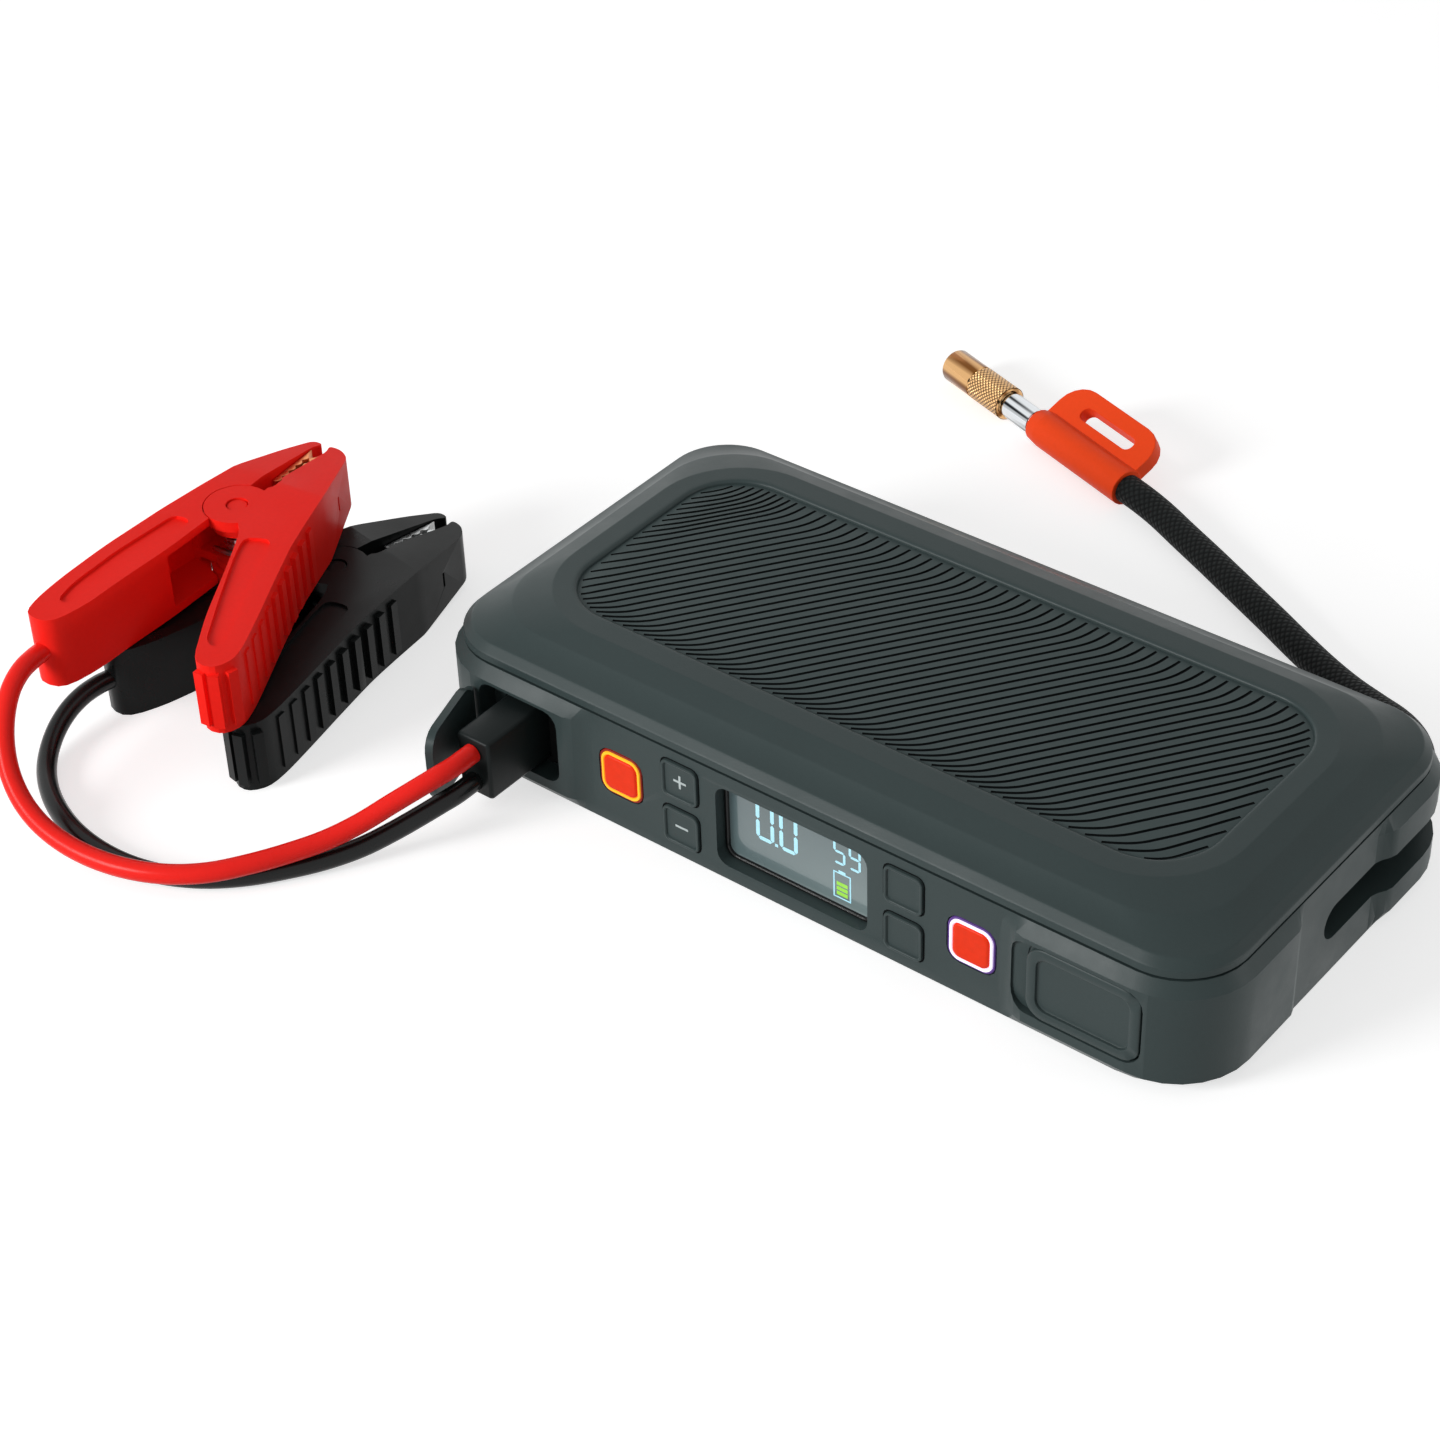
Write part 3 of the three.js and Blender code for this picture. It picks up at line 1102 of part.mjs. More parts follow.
function hoseGland() {
  const wallBack = GROOVE_END_Y - GROOVE_WALL - FIT;
  const shoulder = GROOVE_END_Y + GLAND_SHOULDER;
  const tip = GROOVE_END_Y + GLAND_LENGTH;
  const nut = wallBack - GLAND_NUT;
  const profile = [
    [0, glandTail], [GLAND_NECK, glandTail], [GLAND_NECK, nut], [GLAND_RADIUS, nut],
    [GLAND_RADIUS, wallBack], [GLAND_NECK, wallBack], [GLAND_NECK, shoulder - GLAND_TAPER],
    [GLAND_RADIUS, shoulder], [GLAND_RADIUS, tip - GLAND_BOOT], [HOSE_DIAMETER / 2, tip], [0, tip],
  ];
  return turned(profile, 'y', [hoseX, 0, GROOVE_Z], 20);
}

// In the frame of the hose's end: +X along the axis to the mouth.
function tabOutline() {
  const tip = SLEEVE_LENGTH - TAB_SETBACK;
  const round = roundRect(SLEEVE_LENGTH / 2, TAB_HEIGHT / 2, tip - TAB_SETBACK, TAB_HEIGHT, TAB_CORNER, 5);
  return [[tip, 0], ...round.filter(([, v]) => v > TAB_HEIGHT / 2), [TAB_SETBACK, 0]];
}

function hoseSleeve() {
  const barrel = turned([
    [0, 0], [SLEEVE_RADIUS, 0], [SLEEVE_RADIUS, SLEEVE_LENGTH - SLEEVE_TAPER],
    [SLEEVE_TIP_RADIUS, SLEEVE_LENGTH], [0, SLEEVE_LENGTH],
  ], 'x', [0, 0, 0], 20);
  const tab = prism(tabOutline(), 'z', -TAB_THICKNESS / 2, TAB_THICKNESS / 2);
  const slotOutline = roundRect(SLEEVE_LENGTH / 2 - TAB_SLOT_SHIFT, TAB_SLOT_HEIGHT, TAB_SLOT_LENGTH,
    TAB_SLOT_WIDTH, TAB_SLOT_CORNER);
  const slot = prism(slotOutline, 'z', -TAB_THICKNESS, TAB_THICKNESS);
  const mesh = piece('hose_sleeve', cut(join(barrel, tab), slot), orange());
  mesh.rotation.x = Math.PI - THREE.MathUtils.degToRad(TAB_TILT);
  return mesh;
}

function hoseFerrule() {
  const from = SLEEVE_LENGTH + FIT;
  const to = from + FERRULE_LENGTH;
  const neck = FERRULE_RADIUS - FERRULE_STEP;
  return turned([
    [0, from], [neck, from], [neck, from + FERRULE_RIM], [FERRULE_RADIUS, from + FERRULE_RIM],
    [FERRULE_RADIUS, to - FERRULE_RIM], [neck, to - FERRULE_RIM], [neck, to],
    [SWIVEL_RADIUS, to], [SWIVEL_RADIUS, to + SWIVEL_LENGTH], [0, to + SWIVEL_LENGTH],
  ], 'x', [0, 0, 0], 20);
}

function brassChuck() {
  const from = SLEEVE_LENGTH + FERRULE_LENGTH + 2 * FIT;
  const to = from + CHUCK_LENGTH;
  const knurlEnd = from + KNURL_LENGTH;
  const seat = from + SWIVEL_LENGTH + FIT;
  const socket = SWIVEL_RADIUS + FIT;
  return turned([
    [socket, from], [KNURL_RADIUS - CHUCK_EDGE, from], [KNURL_RADIUS, from + CHUCK_EDGE],
    [KNURL_RADIUS, knurlEnd], [CHUCK_RADIUS, knurlEnd], [CHUCK_RADIUS, to - CHUCK_EDGE],
    [CHUCK_RADIUS - CHUCK_EDGE, to], [CHUCK_BORE, to], [CHUCK_BORE, to - CHUCK_BORE_DEPTH],
    [CHUCK_DUCT, to - CHUCK_BORE_DEPTH], [CHUCK_DUCT, seat], [socket, seat], [socket, from],
  ], 'x', [0, 0, 0], 24);
}

function hoseEnd() {
  const group = new THREE.Group();
  group.add(hoseSleeve());
  group.add(piece('hose_ferrule', hoseFerrule(), chrome()));
  group.add(piece('brass_chuck', brassChuck(), brass()));
  const heading = THREE.MathUtils.degToRad(HOSE_END_HEADING);
  const [x, y, z] = HOSE_ROUTE[HOSE_ROUTE.length - 1];
  const ahead = new THREE.Vector3(Math.cos(heading), Math.sin(heading), 0);
  group.position.set(hosePlace[0] + x, hosePlace[1] + y, z).addScaledVector(ahead, FIT);
  group.rotation.z = heading;
  return group;
}

// ---------------------------------------------------------------- inside

const batteryX = -REAR_BOSS_X + BOSS_RADIUS + BATTERY_END_GAP + BATTERY_LENGTH / 2;
const grooveWall = back - GROOVE_DEPTH - GROOVE_WALL;
const batteryY = (socketFront + SOCKET_DEPTH + grooveWall) / 2;

function batteryPack() {
  const low = FLOOR + FIT;
  const outline = roundRect(batteryX, batteryY, BATTERY_LENGTH, BATTERY_WIDTH, BATTERY_CORNER, 2);
  return prism(outline, 'z', low, low + BATTERY_HEIGHT);
}

function mainBoard() {
  const low = FLOOR + BATTERY_HEIGHT + 2 * FIT;
  const outline = roundRect(batteryX, batteryY, BATTERY_LENGTH - 2 * MAIN_BOARD_INSET,
    BATTERY_WIDTH - 2 * MAIN_BOARD_INSET, BOARD_CORNER, 1);
  return prism(outline, 'z', low, low + BOARD_THICKNESS);
}

// The drive stands between the control board and the groove's wall, its spare room shared out.
const plateX = MOTOR_X + MOTOR_LENGTH + FIT;
const gearX = plateX + GEARBOX_PLATE + FIT;
const gearReach = (GEAR_MODULE * (PINION_TEETH + CRANK_TEETH)) / 2 + GEAR_BACKLASH;
const crankTip = GEAR_MODULE * (CRANK_TEETH / 2 + TOOTH_TIP);
const driveFront = controlBoardFront + BOARD_THICKNESS;
const driveDepth = MOTOR_RADIUS + gearReach + crankTip + CYLINDER_LENGTH + HEAD_THICKNESS;
const driveRoom = grooveWall - driveFront - driveDepth;
const motorY = driveFront + driveRoom * MOTOR_SHARE + MOTOR_RADIUS;
const crankY = motorY + gearReach;
const cylinderRear = grooveWall - driveRoom * HEAD_SHARE - HEAD_THICKNESS;
const cylinderY = cylinderRear - CYLINDER_LENGTH;
const rodX = gearX + GEAR_WIDTH + 2 * FIT + ROD_GAP;
const cylinderX = rodX + ROD_THICKNESS / 2;

function motor() {
  return turned([
    [0, 0], [MOTOR_RADIUS, 0], [MOTOR_RADIUS, MOTOR_LENGTH - MOTOR_SHOULDER],
    [MOTOR_RADIUS - MOTOR_SHOULDER, MOTOR_LENGTH], [0, MOTOR_LENGTH],
  ], 'x', [MOTOR_X, motorY, DRIVE_Z], 20);
}

function gearboxPlate() {
  const outline = roundRect((motorY + crankY) / 2, DRIVE_Z - PLATE_DROP,
    gearReach + 2 * PLATE_MARGIN, PLATE_HEIGHT, PLATE_CORNER, 2);
  const bores = [motorY, crankY].map((y) =>
    prism(disc(y, DRIVE_Z, AXLE_RADIUS + FIT, 14), 'x', plateX - BEYOND, plateX + BEYOND));
  return cut(prism(outline, 'x', plateX, plateX + GEARBOX_PLATE), ...bores);
}

function gearOutline(teeth, centreY, phase) {
  const pitchRadius = (GEAR_MODULE * teeth) / 2;
  const step = (2 * Math.PI) / teeth;
  const points = [];
  for (let i = 0; i < teeth; i += 1) {
    TOOTH_PROFILE.forEach(([share, height]) => {
      const angle = phase + (i + share) * step;
      const radius = pitchRadius + height * GEAR_MODULE;
      points.push([centreY + radius * Math.cos(angle), DRIVE_Z + radius * Math.sin(angle)]);
    });
  }
  return points;
}

function motorPinion() {
  const shaft = prism(disc(motorY, DRIVE_Z, AXLE_RADIUS, 12), 'x', plateX, gearX + FIT);
  const gear = prism(gearOutline(PINION_TEETH, motorY, 0), 'x', gearX, gearX + GEAR_WIDTH);
  return join(gear, shaft);
}

function crankGear() {
  const axle = prism(disc(crankY, DRIVE_Z, AXLE_RADIUS, 12), 'x', plateX, gearX + FIT);
  const gear = prism(gearOutline(CRANK_TEETH, crankY, Math.PI / CRANK_TEETH), 'x', gearX, gearX + GEAR_WIDTH);
  const pinOutline = disc(crankY + CRANK_THROW, DRIVE_Z, CRANK_PIN_RADIUS, 12);
  const pin = prism(pinOutline, 'x', gearX, rodX - 2 * FIT);
  return join(gear, axle, pin);
}

function cylinder() {
  const size = 2 * CYLINDER_RADIUS;
  const barrel = prism(disc(cylinderX, DRIVE_Z, CYLINDER_RADIUS, 28), 'y', cylinderY, cylinderRear + FIT);
  const headOutline = roundRect(cylinderX, DRIVE_Z, size, size, HEAD_CORNER, 2);
  const head = prism(headOutline, 'y', cylinderRear, cylinderRear + HEAD_THICKNESS);
  const bore = prism(disc(cylinderX, DRIVE_Z, CYLINDER_BORE, 28), 'y', cylinderY - BEYOND, cylinderRear);
  return cut(join(barrel, head), bore);
}

// At top dead centre, its big end over the crank pin.
function piston() {
  const top = cylinderRear - HEAD_CLEARANCE;
  const pinY = crankY + CRANK_THROW;
  const crown = prism(disc(cylinderX, DRIVE_Z, CYLINDER_BORE - FIT, 28), 'y', top - PISTON_LENGTH, top);
  const rod = block([rodX, rodX + ROD_THICKNESS], [pinY, top - PISTON_LENGTH / 2],
    [DRIVE_Z - ROD_HALF, DRIVE_Z + ROD_HALF]);
  const bigEnd = prism(disc(pinY, DRIVE_Z, BIG_END_RADIUS, 20), 'x', rodX, rodX + ROD_THICKNESS);
  return join(crown, rod, bigEnd);
}

// From the cylinder head over to the gland's tail.
function airPipe() {
  const y = cylinderRear + HEAD_THICKNESS / 2;
  const tail = glandTail - FIT;
  const from = cylinderX + CYLINDER_RADIUS + FIT;
  const way = PIPE_WAY.map(([dx, dy, dz]) => [hoseX + dx, tail + dy, DRIVE_Z + dz]);
  return tube([
    [from, y, DRIVE_Z], [from + PIPE_LEAD, y, DRIVE_Z], ...way,
    [hoseX, tail - PIPE_LEAD, GROOVE_Z], [hoseX, tail, GROOVE_Z],
  ], PIPE_RADIUS, 8, 30);
}

// ---------------------------------------------------------------- assembly

console.log(`least gap between a clamp spring's turns: ${springGap(springPoints()).toFixed(2)} mm`);

const pack = new THREE.Group();
pack.add(
  piece('lower_case', lowerCase(), slate()),
  piece('top_cover', topCover(), slate()),
  piece('seam_seal', seamSeal(), blackRubber()),
  piece('grip_panel', gripPanel(), slateLight()),
  ...bossPlaces.map(caseScrew),
  ...footPlaces.map(rubberFoot),
  ...smallButtonPlaces.map(smallButton),
  bigButton('start_button', START_BUTTON_X),
  bigButton('power_button', POWER_BUTTON_X),
  lightRing('start_light_ring', START_BUTTON_X, amberLight),
  lightRing('power_light_ring', POWER_BUTTON_X, whiteLight),
  piece('display_lens', displayLens(), glass()),
  piece('display_module', displayModule(), screen()),
  piece('control_board', controlBoard(), board()),
  piece('usb_door', usbDoor(), slateLight()),
  piece('usb_block', usbBlock(), blackPlastic()),
  piece('usb_a_socket', usbSocket(usbAZ, USB_A_WIDTH, USB_A_HEIGHT, USB_A_CORNER, USB_A_TONGUE), steel()),
  piece('usb_c_socket', usbSocket(usbCZ, USB_C_WIDTH, USB_C_HEIGHT, USB_C_CORNER, USB_C_TONGUE), steel()),
  piece('jump_socket', jumpSocket(), blackRubber()),
  piece('jump_plug', jumpPlug(), blackPlastic()),
  piece('plug_contact_positive', plugContact(1), brass()),
  piece('plug_contact_negative', plugContact(-1), brass()),
  portCover(),
  clamp('red', redPlastic, copper, RED_PIVOT, RED_TURN, RED_LIFT),
  clamp('black', blackPlastic, steel, BLACK_PIVOT, BLACK_TURN, 0),
  piece('red_cable', tube(RED_ROUTE, CABLE_DIAMETER / 2, 10, 26, plugPlace), redCable()),
  piece('black_cable', tube(BLACK_ROUTE, CABLE_DIAMETER / 2, 10, 26, plugPlace), blackRubber()),
  piece('hose_gland', hoseGland(), blackPlastic()),
  piece('air_hose', tube(hoseRoute(), HOSE_DIAMETER / 2, 12, 28, hosePlace), blackRubber()),
  hoseEnd(),
  piece('battery_pack', batteryPack(), foil()),
  piece('main_board', mainBoard(), board()),
  piece('compressor_motor', motor(), steel()),
  piece('gearbox_plate', gearboxPlate(), aluminium()),
  piece('motor_pinion', motorPinion(), brass()),
  piece('crank_gear', crankGear(), nylon()),
  piece('compressor_cylinder', cylinder(), aluminium()),
  piece('piston', piston(), aluminium()),
  piece('air_pipe', airPipe(), blackRubber()),
);

export default pack;
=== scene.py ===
import json
import math
import bmesh
import bpy
from mathutils import Matrix, Vector

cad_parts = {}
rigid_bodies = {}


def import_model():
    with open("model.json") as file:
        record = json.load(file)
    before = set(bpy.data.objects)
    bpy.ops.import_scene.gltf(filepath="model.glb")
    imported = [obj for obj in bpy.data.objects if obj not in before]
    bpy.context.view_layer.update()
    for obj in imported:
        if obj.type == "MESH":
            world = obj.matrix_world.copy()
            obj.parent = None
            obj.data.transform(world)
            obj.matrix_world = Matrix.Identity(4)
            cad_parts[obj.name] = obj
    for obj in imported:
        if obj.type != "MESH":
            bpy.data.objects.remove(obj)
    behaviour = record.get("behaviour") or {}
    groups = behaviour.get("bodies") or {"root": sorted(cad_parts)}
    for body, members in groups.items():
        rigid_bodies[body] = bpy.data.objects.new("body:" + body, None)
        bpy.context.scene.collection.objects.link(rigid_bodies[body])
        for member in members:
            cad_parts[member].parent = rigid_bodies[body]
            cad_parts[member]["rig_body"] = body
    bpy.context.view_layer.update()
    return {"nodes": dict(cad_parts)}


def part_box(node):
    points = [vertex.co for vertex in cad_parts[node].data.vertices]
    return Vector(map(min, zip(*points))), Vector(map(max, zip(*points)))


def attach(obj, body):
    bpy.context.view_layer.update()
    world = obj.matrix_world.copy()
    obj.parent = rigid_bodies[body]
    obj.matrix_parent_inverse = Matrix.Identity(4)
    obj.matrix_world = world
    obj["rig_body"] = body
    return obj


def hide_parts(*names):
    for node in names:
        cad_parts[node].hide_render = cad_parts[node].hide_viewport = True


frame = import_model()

MM = 0.001

# ------------------------------------------------------------------ camera

TARGET = Vector((-0.041641, -0.032776, 0.025))
YAW = math.radians(39.934)
ELEVATION = math.radians(37.598)
ROLL = math.radians(-2.213)
DISTANCE = 0.816211
LENS = 81.488
SENSOR = 36
CLIP = (0.01, 20)


def make_camera():
    """The photo's camera: turned, raised and rolled about its target."""
    back = Vector((math.sin(YAW) * math.cos(ELEVATION), -math.cos(YAW) * math.cos(ELEVATION),
                   math.sin(ELEVATION)))
    right = Vector((0, 0, 1)).cross(back).normalized()
    up = back.cross(right)
    turned_right = right * math.cos(ROLL) + up * math.sin(ROLL)
    turned_up = up * math.cos(ROLL) - right * math.sin(ROLL)
    data = bpy.data.cameras.new("camera")
    data.lens = LENS
    data.sensor_width = SENSOR
    data.clip_start, data.clip_end = CLIP
    camera = bpy.data.objects.new("camera", data)
    place = Matrix((turned_right, turned_up, back)).transposed().to_4x4()
    place.translation = TARGET + back * DISTANCE
    camera.matrix_world = place
    bpy.context.scene.collection.objects.link(camera)
    bpy.context.scene.camera = camera


make_camera()

# ------------------------------------------------------------------ materials


def linear(code):
    """Linear colour of a hex code."""
    parts = [int(code[i:i + 2], 16) / 255 for i in (0, 2, 4)]
    return tuple(c / 12.92 if c <= 0.04045 else ((c + 0.055) / 1.055) ** 2.4 for c in parts)


MIX_FACTOR, MIX_A, MIX_B, MIX_RESULT = 0, 6, 7, 2  # where a Mix node keeps its colours


class Nodes:
    """A material's node tree with short ways to add and link nodes."""

    def __init__(self, name):
        self.material = bpy.data.materials.new(name)
        self.material.use_nodes = True
        self.tree = self.material.node_tree
        self.shader = self.tree.nodes["Principled BSDF"]
        self.coords = self.add("ShaderNodeTexCoord").outputs["Object"]

    def add(self, kind, values=None, **settings):
        """A node, with its sockets linked or set from values."""
        node = self.tree.nodes.new(kind)
        for key, value in settings.items():
            setattr(node, key, value)
        for key, value in (values or {}).items():
            if isinstance(value, bpy.types.NodeSocket):
                self.tree.links.new(value, node.inputs[key])
            else:
                node.inputs[key].default_value = value
        return node

    def noise(self, scale, detail=3, rough=0.5, coords=None):
        """A noise over the object's own coordinates, or over others if given."""
        node = self.add("ShaderNodeTexNoise", {"Vector": coords or self.coords, "Scale": scale,
                                               "Detail": detail, "Roughness": rough})
        return node.outputs["Fac"]

    def span(self, value, low, high, start=0.0, end=1.0):
        """value's range start..end mapped to low..high."""
        node = self.add("ShaderNodeMapRange", {"Value": value, "From Min": start, "From Max": end,
                                               "To Min": low, "To Max": high})
        return node.outputs["Result"]

    def math(self, operation, a, b=0.0):
        """One sum on a and b."""
        node = self.add("ShaderNodeMath", {0: a, 1: b}, operation=operation)
        return node.outputs[0]

    def blend(self, factor, a, b):
        """Colour a where factor is 0 and b where it is 1."""
        node = self.add("ShaderNodeMix", data_type="RGBA")
        for socket, value in ((MIX_FACTOR, factor), (MIX_A, a), (MIX_B, b)):
            if isinstance(value, bpy.types.NodeSocket):
                self.tree.links.new(value, node.inputs[socket])
            else:
                node.inputs[socket].default_value = value if socket == MIX_FACTOR else (*value, 1.0)
        return node.outputs[MIX_RESULT]

    def bump(self, height, strength, distance, normal=None):
        """A normal that follows height, over another normal if one is given."""
        values = {"Height": height, "Strength": strength, "Distance": distance}
        if normal is not None:
            values["Normal"] = normal
        return self.add("ShaderNodeBump", values).outputs["Normal"]

    def link(self, value, name):
        """value drives an input of the shader."""
        self.tree.links.new(value, self.shader.inputs[name])

    def set(self, **values):
        """Plain values on the shader's inputs."""
        for key, value in values.items():
            self.shader.inputs[key.replace("_", " ")].default_value = value


def moulded(name, color, rough=0.5, grain=2200, depth=0.25, mottle=0.1, wear=0.12, coat=0.0,
            specular=0.25):
    """Moulded plastic or rubber: fine grain, slow tone changes, rubbed patches."""
    n = Nodes(name)
    base = linear(color)
    dark = tuple(c * (1 - mottle) for c in base)
    pale = tuple(min(1, c * (1 + mottle) + 0.004) for c in base)
    tone = n.blend(n.noise(28, 2), dark, pale)
    speck = n.span(n.noise(900, 2), 0.96, 1.04)
    specked = n.add("ShaderNodeHueSaturation", {"Color": tone, "Value": speck}).outputs["Color"]
    n.link(specked, "Base Color")
    rubbed = n.span(n.noise(60, 4, 0.65), rough - wear / 2, rough + wear / 2, 0.3, 0.7)
    n.link(rubbed, "Roughness")
    fine = n.bump(n.noise(grain, 3), depth, 0.00006)
    n.link(n.bump(n.noise(110, 2), 0.06, 0.0004, fine), "Normal")
    n.set(Coat_Weight=coat, Coat_Roughness=0.25, Specular_IOR_Level=specular)
    return n.material


def metal(name, color, rough=0.3, tarnish=""):
    """Bare metal: fine grain, tarnish in slow patches."""
    n = Nodes(name)
    base = linear(color)
    spots = linear(tarnish) if tarnish else tuple(c * 0.8 for c in base)
    n.link(n.blend(n.span(n.noise(120, 4, 0.6), 0, 0.5, 0.4, 0.8), base, spots), "Base Color")
    n.link(n.span(n.noise(420, 4), rough * 0.8, rough * 1.25, 0.3, 0.7), "Roughness")
    n.link(n.bump(n.noise(1800, 2), 0.15, 0.00002), "Normal")
    n.set(Metallic=1.0)
    return n.material


def glowing(name, color, strength, rough=0.35):
    """Plastic with a nearly even glow: lit from inside on the light rings and the display, a painted glow on
    the button caps.
    """
    n = Nodes(name)
    base = linear(color)
    patchy = n.span(n.noise(500, 2), 0.9, 1.1)
    lit = n.add("ShaderNodeHueSaturation", {"Color": (*base, 1.0), "Value": patchy}).outputs["Color"]
    n.link(lit, "Base Color")
    n.link(lit, "Emission Color")
    n.set(Emission_Strength=strength, Specular_IOR_Level=0.15)
    n.link(n.span(n.noise(700, 2), rough - 0.05, rough + 0.05), "Roughness")
    n.link(n.bump(n.noise(1500, 2), 0.1, 0.00004), "Normal")
    return n.material


def crossed(n, around, per_metre):
    """Height of small diamonds over the piece's own UV: waves around it and per metre along it."""
    uv = n.add("ShaderNodeUVMap", uv_map="around").outputs["UV"]
    split = n.add("ShaderNodeSeparateXYZ", {"Vector": uv})
    steps = []
    for sign in (1, -1):
        along = n.math("MULTIPLY", split.outputs["Y"], sign * per_metre)
        phase = n.math("ADD", n.math("MULTIPLY", split.outputs["X"], around), along)
        steps.append(n.math("SINE", n.math("MULTIPLY", phase, 2 * math.pi)))
    return n.math("ABSOLUTE", n.math("MULTIPLY", *steps))


def braid(name, color, around, per_metre):
    """Woven cover of crossed yarns, darker in patches, with painted shade in the weave's hollows and a
    painted highlight on its crests.
    """
    n = Nodes(name)
    height = crossed(n, around, per_metre)
    base = linear(color)
    # painted shade in the weave's hollows and painted highlight on its crests
    painted_weave_shading = n.blend(height, tuple(c * 0.25 for c in base), tuple(min(1, c * 2.2 + 0.004) for c in base))
    n.link(n.blend(n.span(n.noise(300, 3), 0, 0.35), painted_weave_shading, tuple(c * 0.6 for c in base)), "Base Color")
    n.link(n.span(height, 0.75, 0.5), "Roughness")
    n.link(n.bump(height, 0.7, 0.0003), "Normal")
    n.set(Sheen_Weight=0.02, Sheen_Roughness=0.5, Specular_IOR_Level=0.12)
    return n.material


def knurled(name, color, painted_valley_shade, around, per_metre):
    """Metal with a fine diamond knurl, with painted shade in its valleys."""
    n = Nodes(name)
    height = crossed(n, around, per_metre)
    # the valleys take painted shade, the crests the metal's own colour
    n.link(n.blend(n.span(height, 0, 1, 0.05, 0.5), linear(painted_valley_shade), linear(color)), "Base Color")
    n.link(n.span(n.noise(400, 3), 0.26, 0.38), "Roughness")
    n.link(n.bump(height, 0.9, 0.0003), "Normal")
    n.set(Metallic=1.0)
    return n.material


END_ORIGIN = Vector((-32.0045, 140.0052, 5.4))  # where the hose's straight end piece starts
END_HEADING = math.radians(161.5)
# how far the painted reflection streaks are drawn out along the axis
REFLECTION_STRETCH = 30


def reflection_streaked(name, light, dark, rough, fineness):
    """Turned and polished metal of the hose's end, with painted reflections: soft light and dark streaks
    along its axis.
    """
    n = Nodes(name)
    place = n.add("ShaderNodeMapping", {"Vector": n.coords, "Location": END_ORIGIN * MM,
                                        "Rotation": (0, 0, END_HEADING),
                                        "Scale": (REFLECTION_STRETCH, 1, 1)},
                  vector_type="TEXTURE")
    # painted reflections: light and dark streaks that stand in for the room mirrored in the metal
    painted_reflections = n.span(n.noise(fineness, 1, 0.4, place.outputs["Vector"]), 0, 1, 0.4, 0.56)
    n.link(n.blend(painted_reflections, linear(dark), linear(light)), "Base Color")
    n.link(n.span(n.noise(300, 3), rough * 0.8, rough * 1.3), "Roughness")
    n.link(n.bump(n.noise(1600, 2), 0.04, 0.00002), "Normal")
    n.set(Metallic=1.0)
    return n.material


LCD_ACROSS = (-0.023, 0.022)  # metres, where the tones start and end
LCD_UP = (0.005, 0.031)
LCD_TONES = ("526264", "6e7e7e", "435356")  # low left, low right, top


def lcd(name):
    """Lit display glass: grey-green, darker towards the top, with a gloss coat."""
    n = Nodes(name)
    low_left, low_right, top = [linear(tone) for tone in LCD_TONES]
    split = n.add("ShaderNodeSeparateXYZ", {"Vector": n.coords})
    rise = n.span(split.outputs["Z"], 0, 1, *LCD_UP)
    side = n.span(split.outputs["X"], 0, 1, *LCD_ACROSS)
    tone = n.blend(rise, n.blend(side, low_left, low_right), top)
    n.link(tone, "Base Color")
    n.link(tone, "Emission Color")
    n.set(Emission_Strength=0.25, Coat_Weight=1.0, Coat_Roughness=0.04)
    n.link(n.span(n.noise(200, 2), 0.22, 0.3), "Roughness")
    n.link(n.bump(n.noise(2500, 1), 0.02, 0.00002), "Normal")
    return n.material


MATERIALS = {}


def look(make, name, *values, **more):
    """Makes a material and keeps it under its name."""
    MATERIALS[name] = make(name, *values, **more)


look(moulded, "slate", "313d3d", 0.4, wear=0.1, mottle=0.04, specular=0.2)
look(moulded, "slate_button", "313d3d", 0.38, mottle=0.04, specular=0.2)
look(moulded, "grip", "3c4848", 0.5, grain=1600, depth=0.35, mottle=0.04, specular=0.15)
# near-black painted shade for the grip's grooves and the gaps round the keys
look(moulded, "groove", "070b0c", 0.7, mottle=0.08, specular=0.05)
look(moulded, "orange_tab", "fb4a16", 0.45, mottle=0.04, specular=0.12)
# the caps are no lamps: their faint glow is painted light
look(glowing, "cap", "e4320c", 0.08, 0.42)
look(glowing, "amber", "f0b428", 0.45)
look(glowing, "white_ring", "f2e6fa", 0.62)
look(moulded, "amber_edge", "8e1d10", 0.5)
look(moulded, "white_ring_edge", "5a3a86", 0.5)
look(moulded, "black", "151b1b", 0.36, mottle=0.12, specular=0.12)
look(moulded, "black_clamp", "101313", 0.32, mottle=0.12, wear=0.16, specular=0.12)
look(moulded, "rubber", "0c0e0e", 0.75, grain=1500, mottle=0.12, specular=0.08)
look(moulded, "red_clamp", "f7231a", 0.4, mottle=0.04, wear=0.14, specular=0.05)
look(moulded, "red_cable", "f2241d", 0.26, mottle=0.04, coat=0.05, specular=0.08)
look(moulded, "black_cable", "101313", 0.26, mottle=0.1, coat=0.1, specular=0.2)
look(lcd, "lcd")
look(moulded, "frame", "0a0c0d", 0.2, mottle=0.05, coat=0.15, specular=0.2)
look(glowing, "digit", "aadcea", 0.32, 0.25)
look(glowing, "charge", "93d14c", 0.35, 0.25)
look(moulded, "symbol", "b9c3c3", 0.5, mottle=0.04)
look(metal, "steel", "b9bdc0", 0.3)
# chrome and brass carry painted reflections in their colour
look(reflection_streaked, "chrome", "e2e6e9", "181d20", 0.08, fineness=560)
look(reflection_streaked, "brass", "e3b27a", "7a4c22", 0.14, fineness=280)
look(metal, "pin_brass", "dfae6c", 0.2, "c08c50")
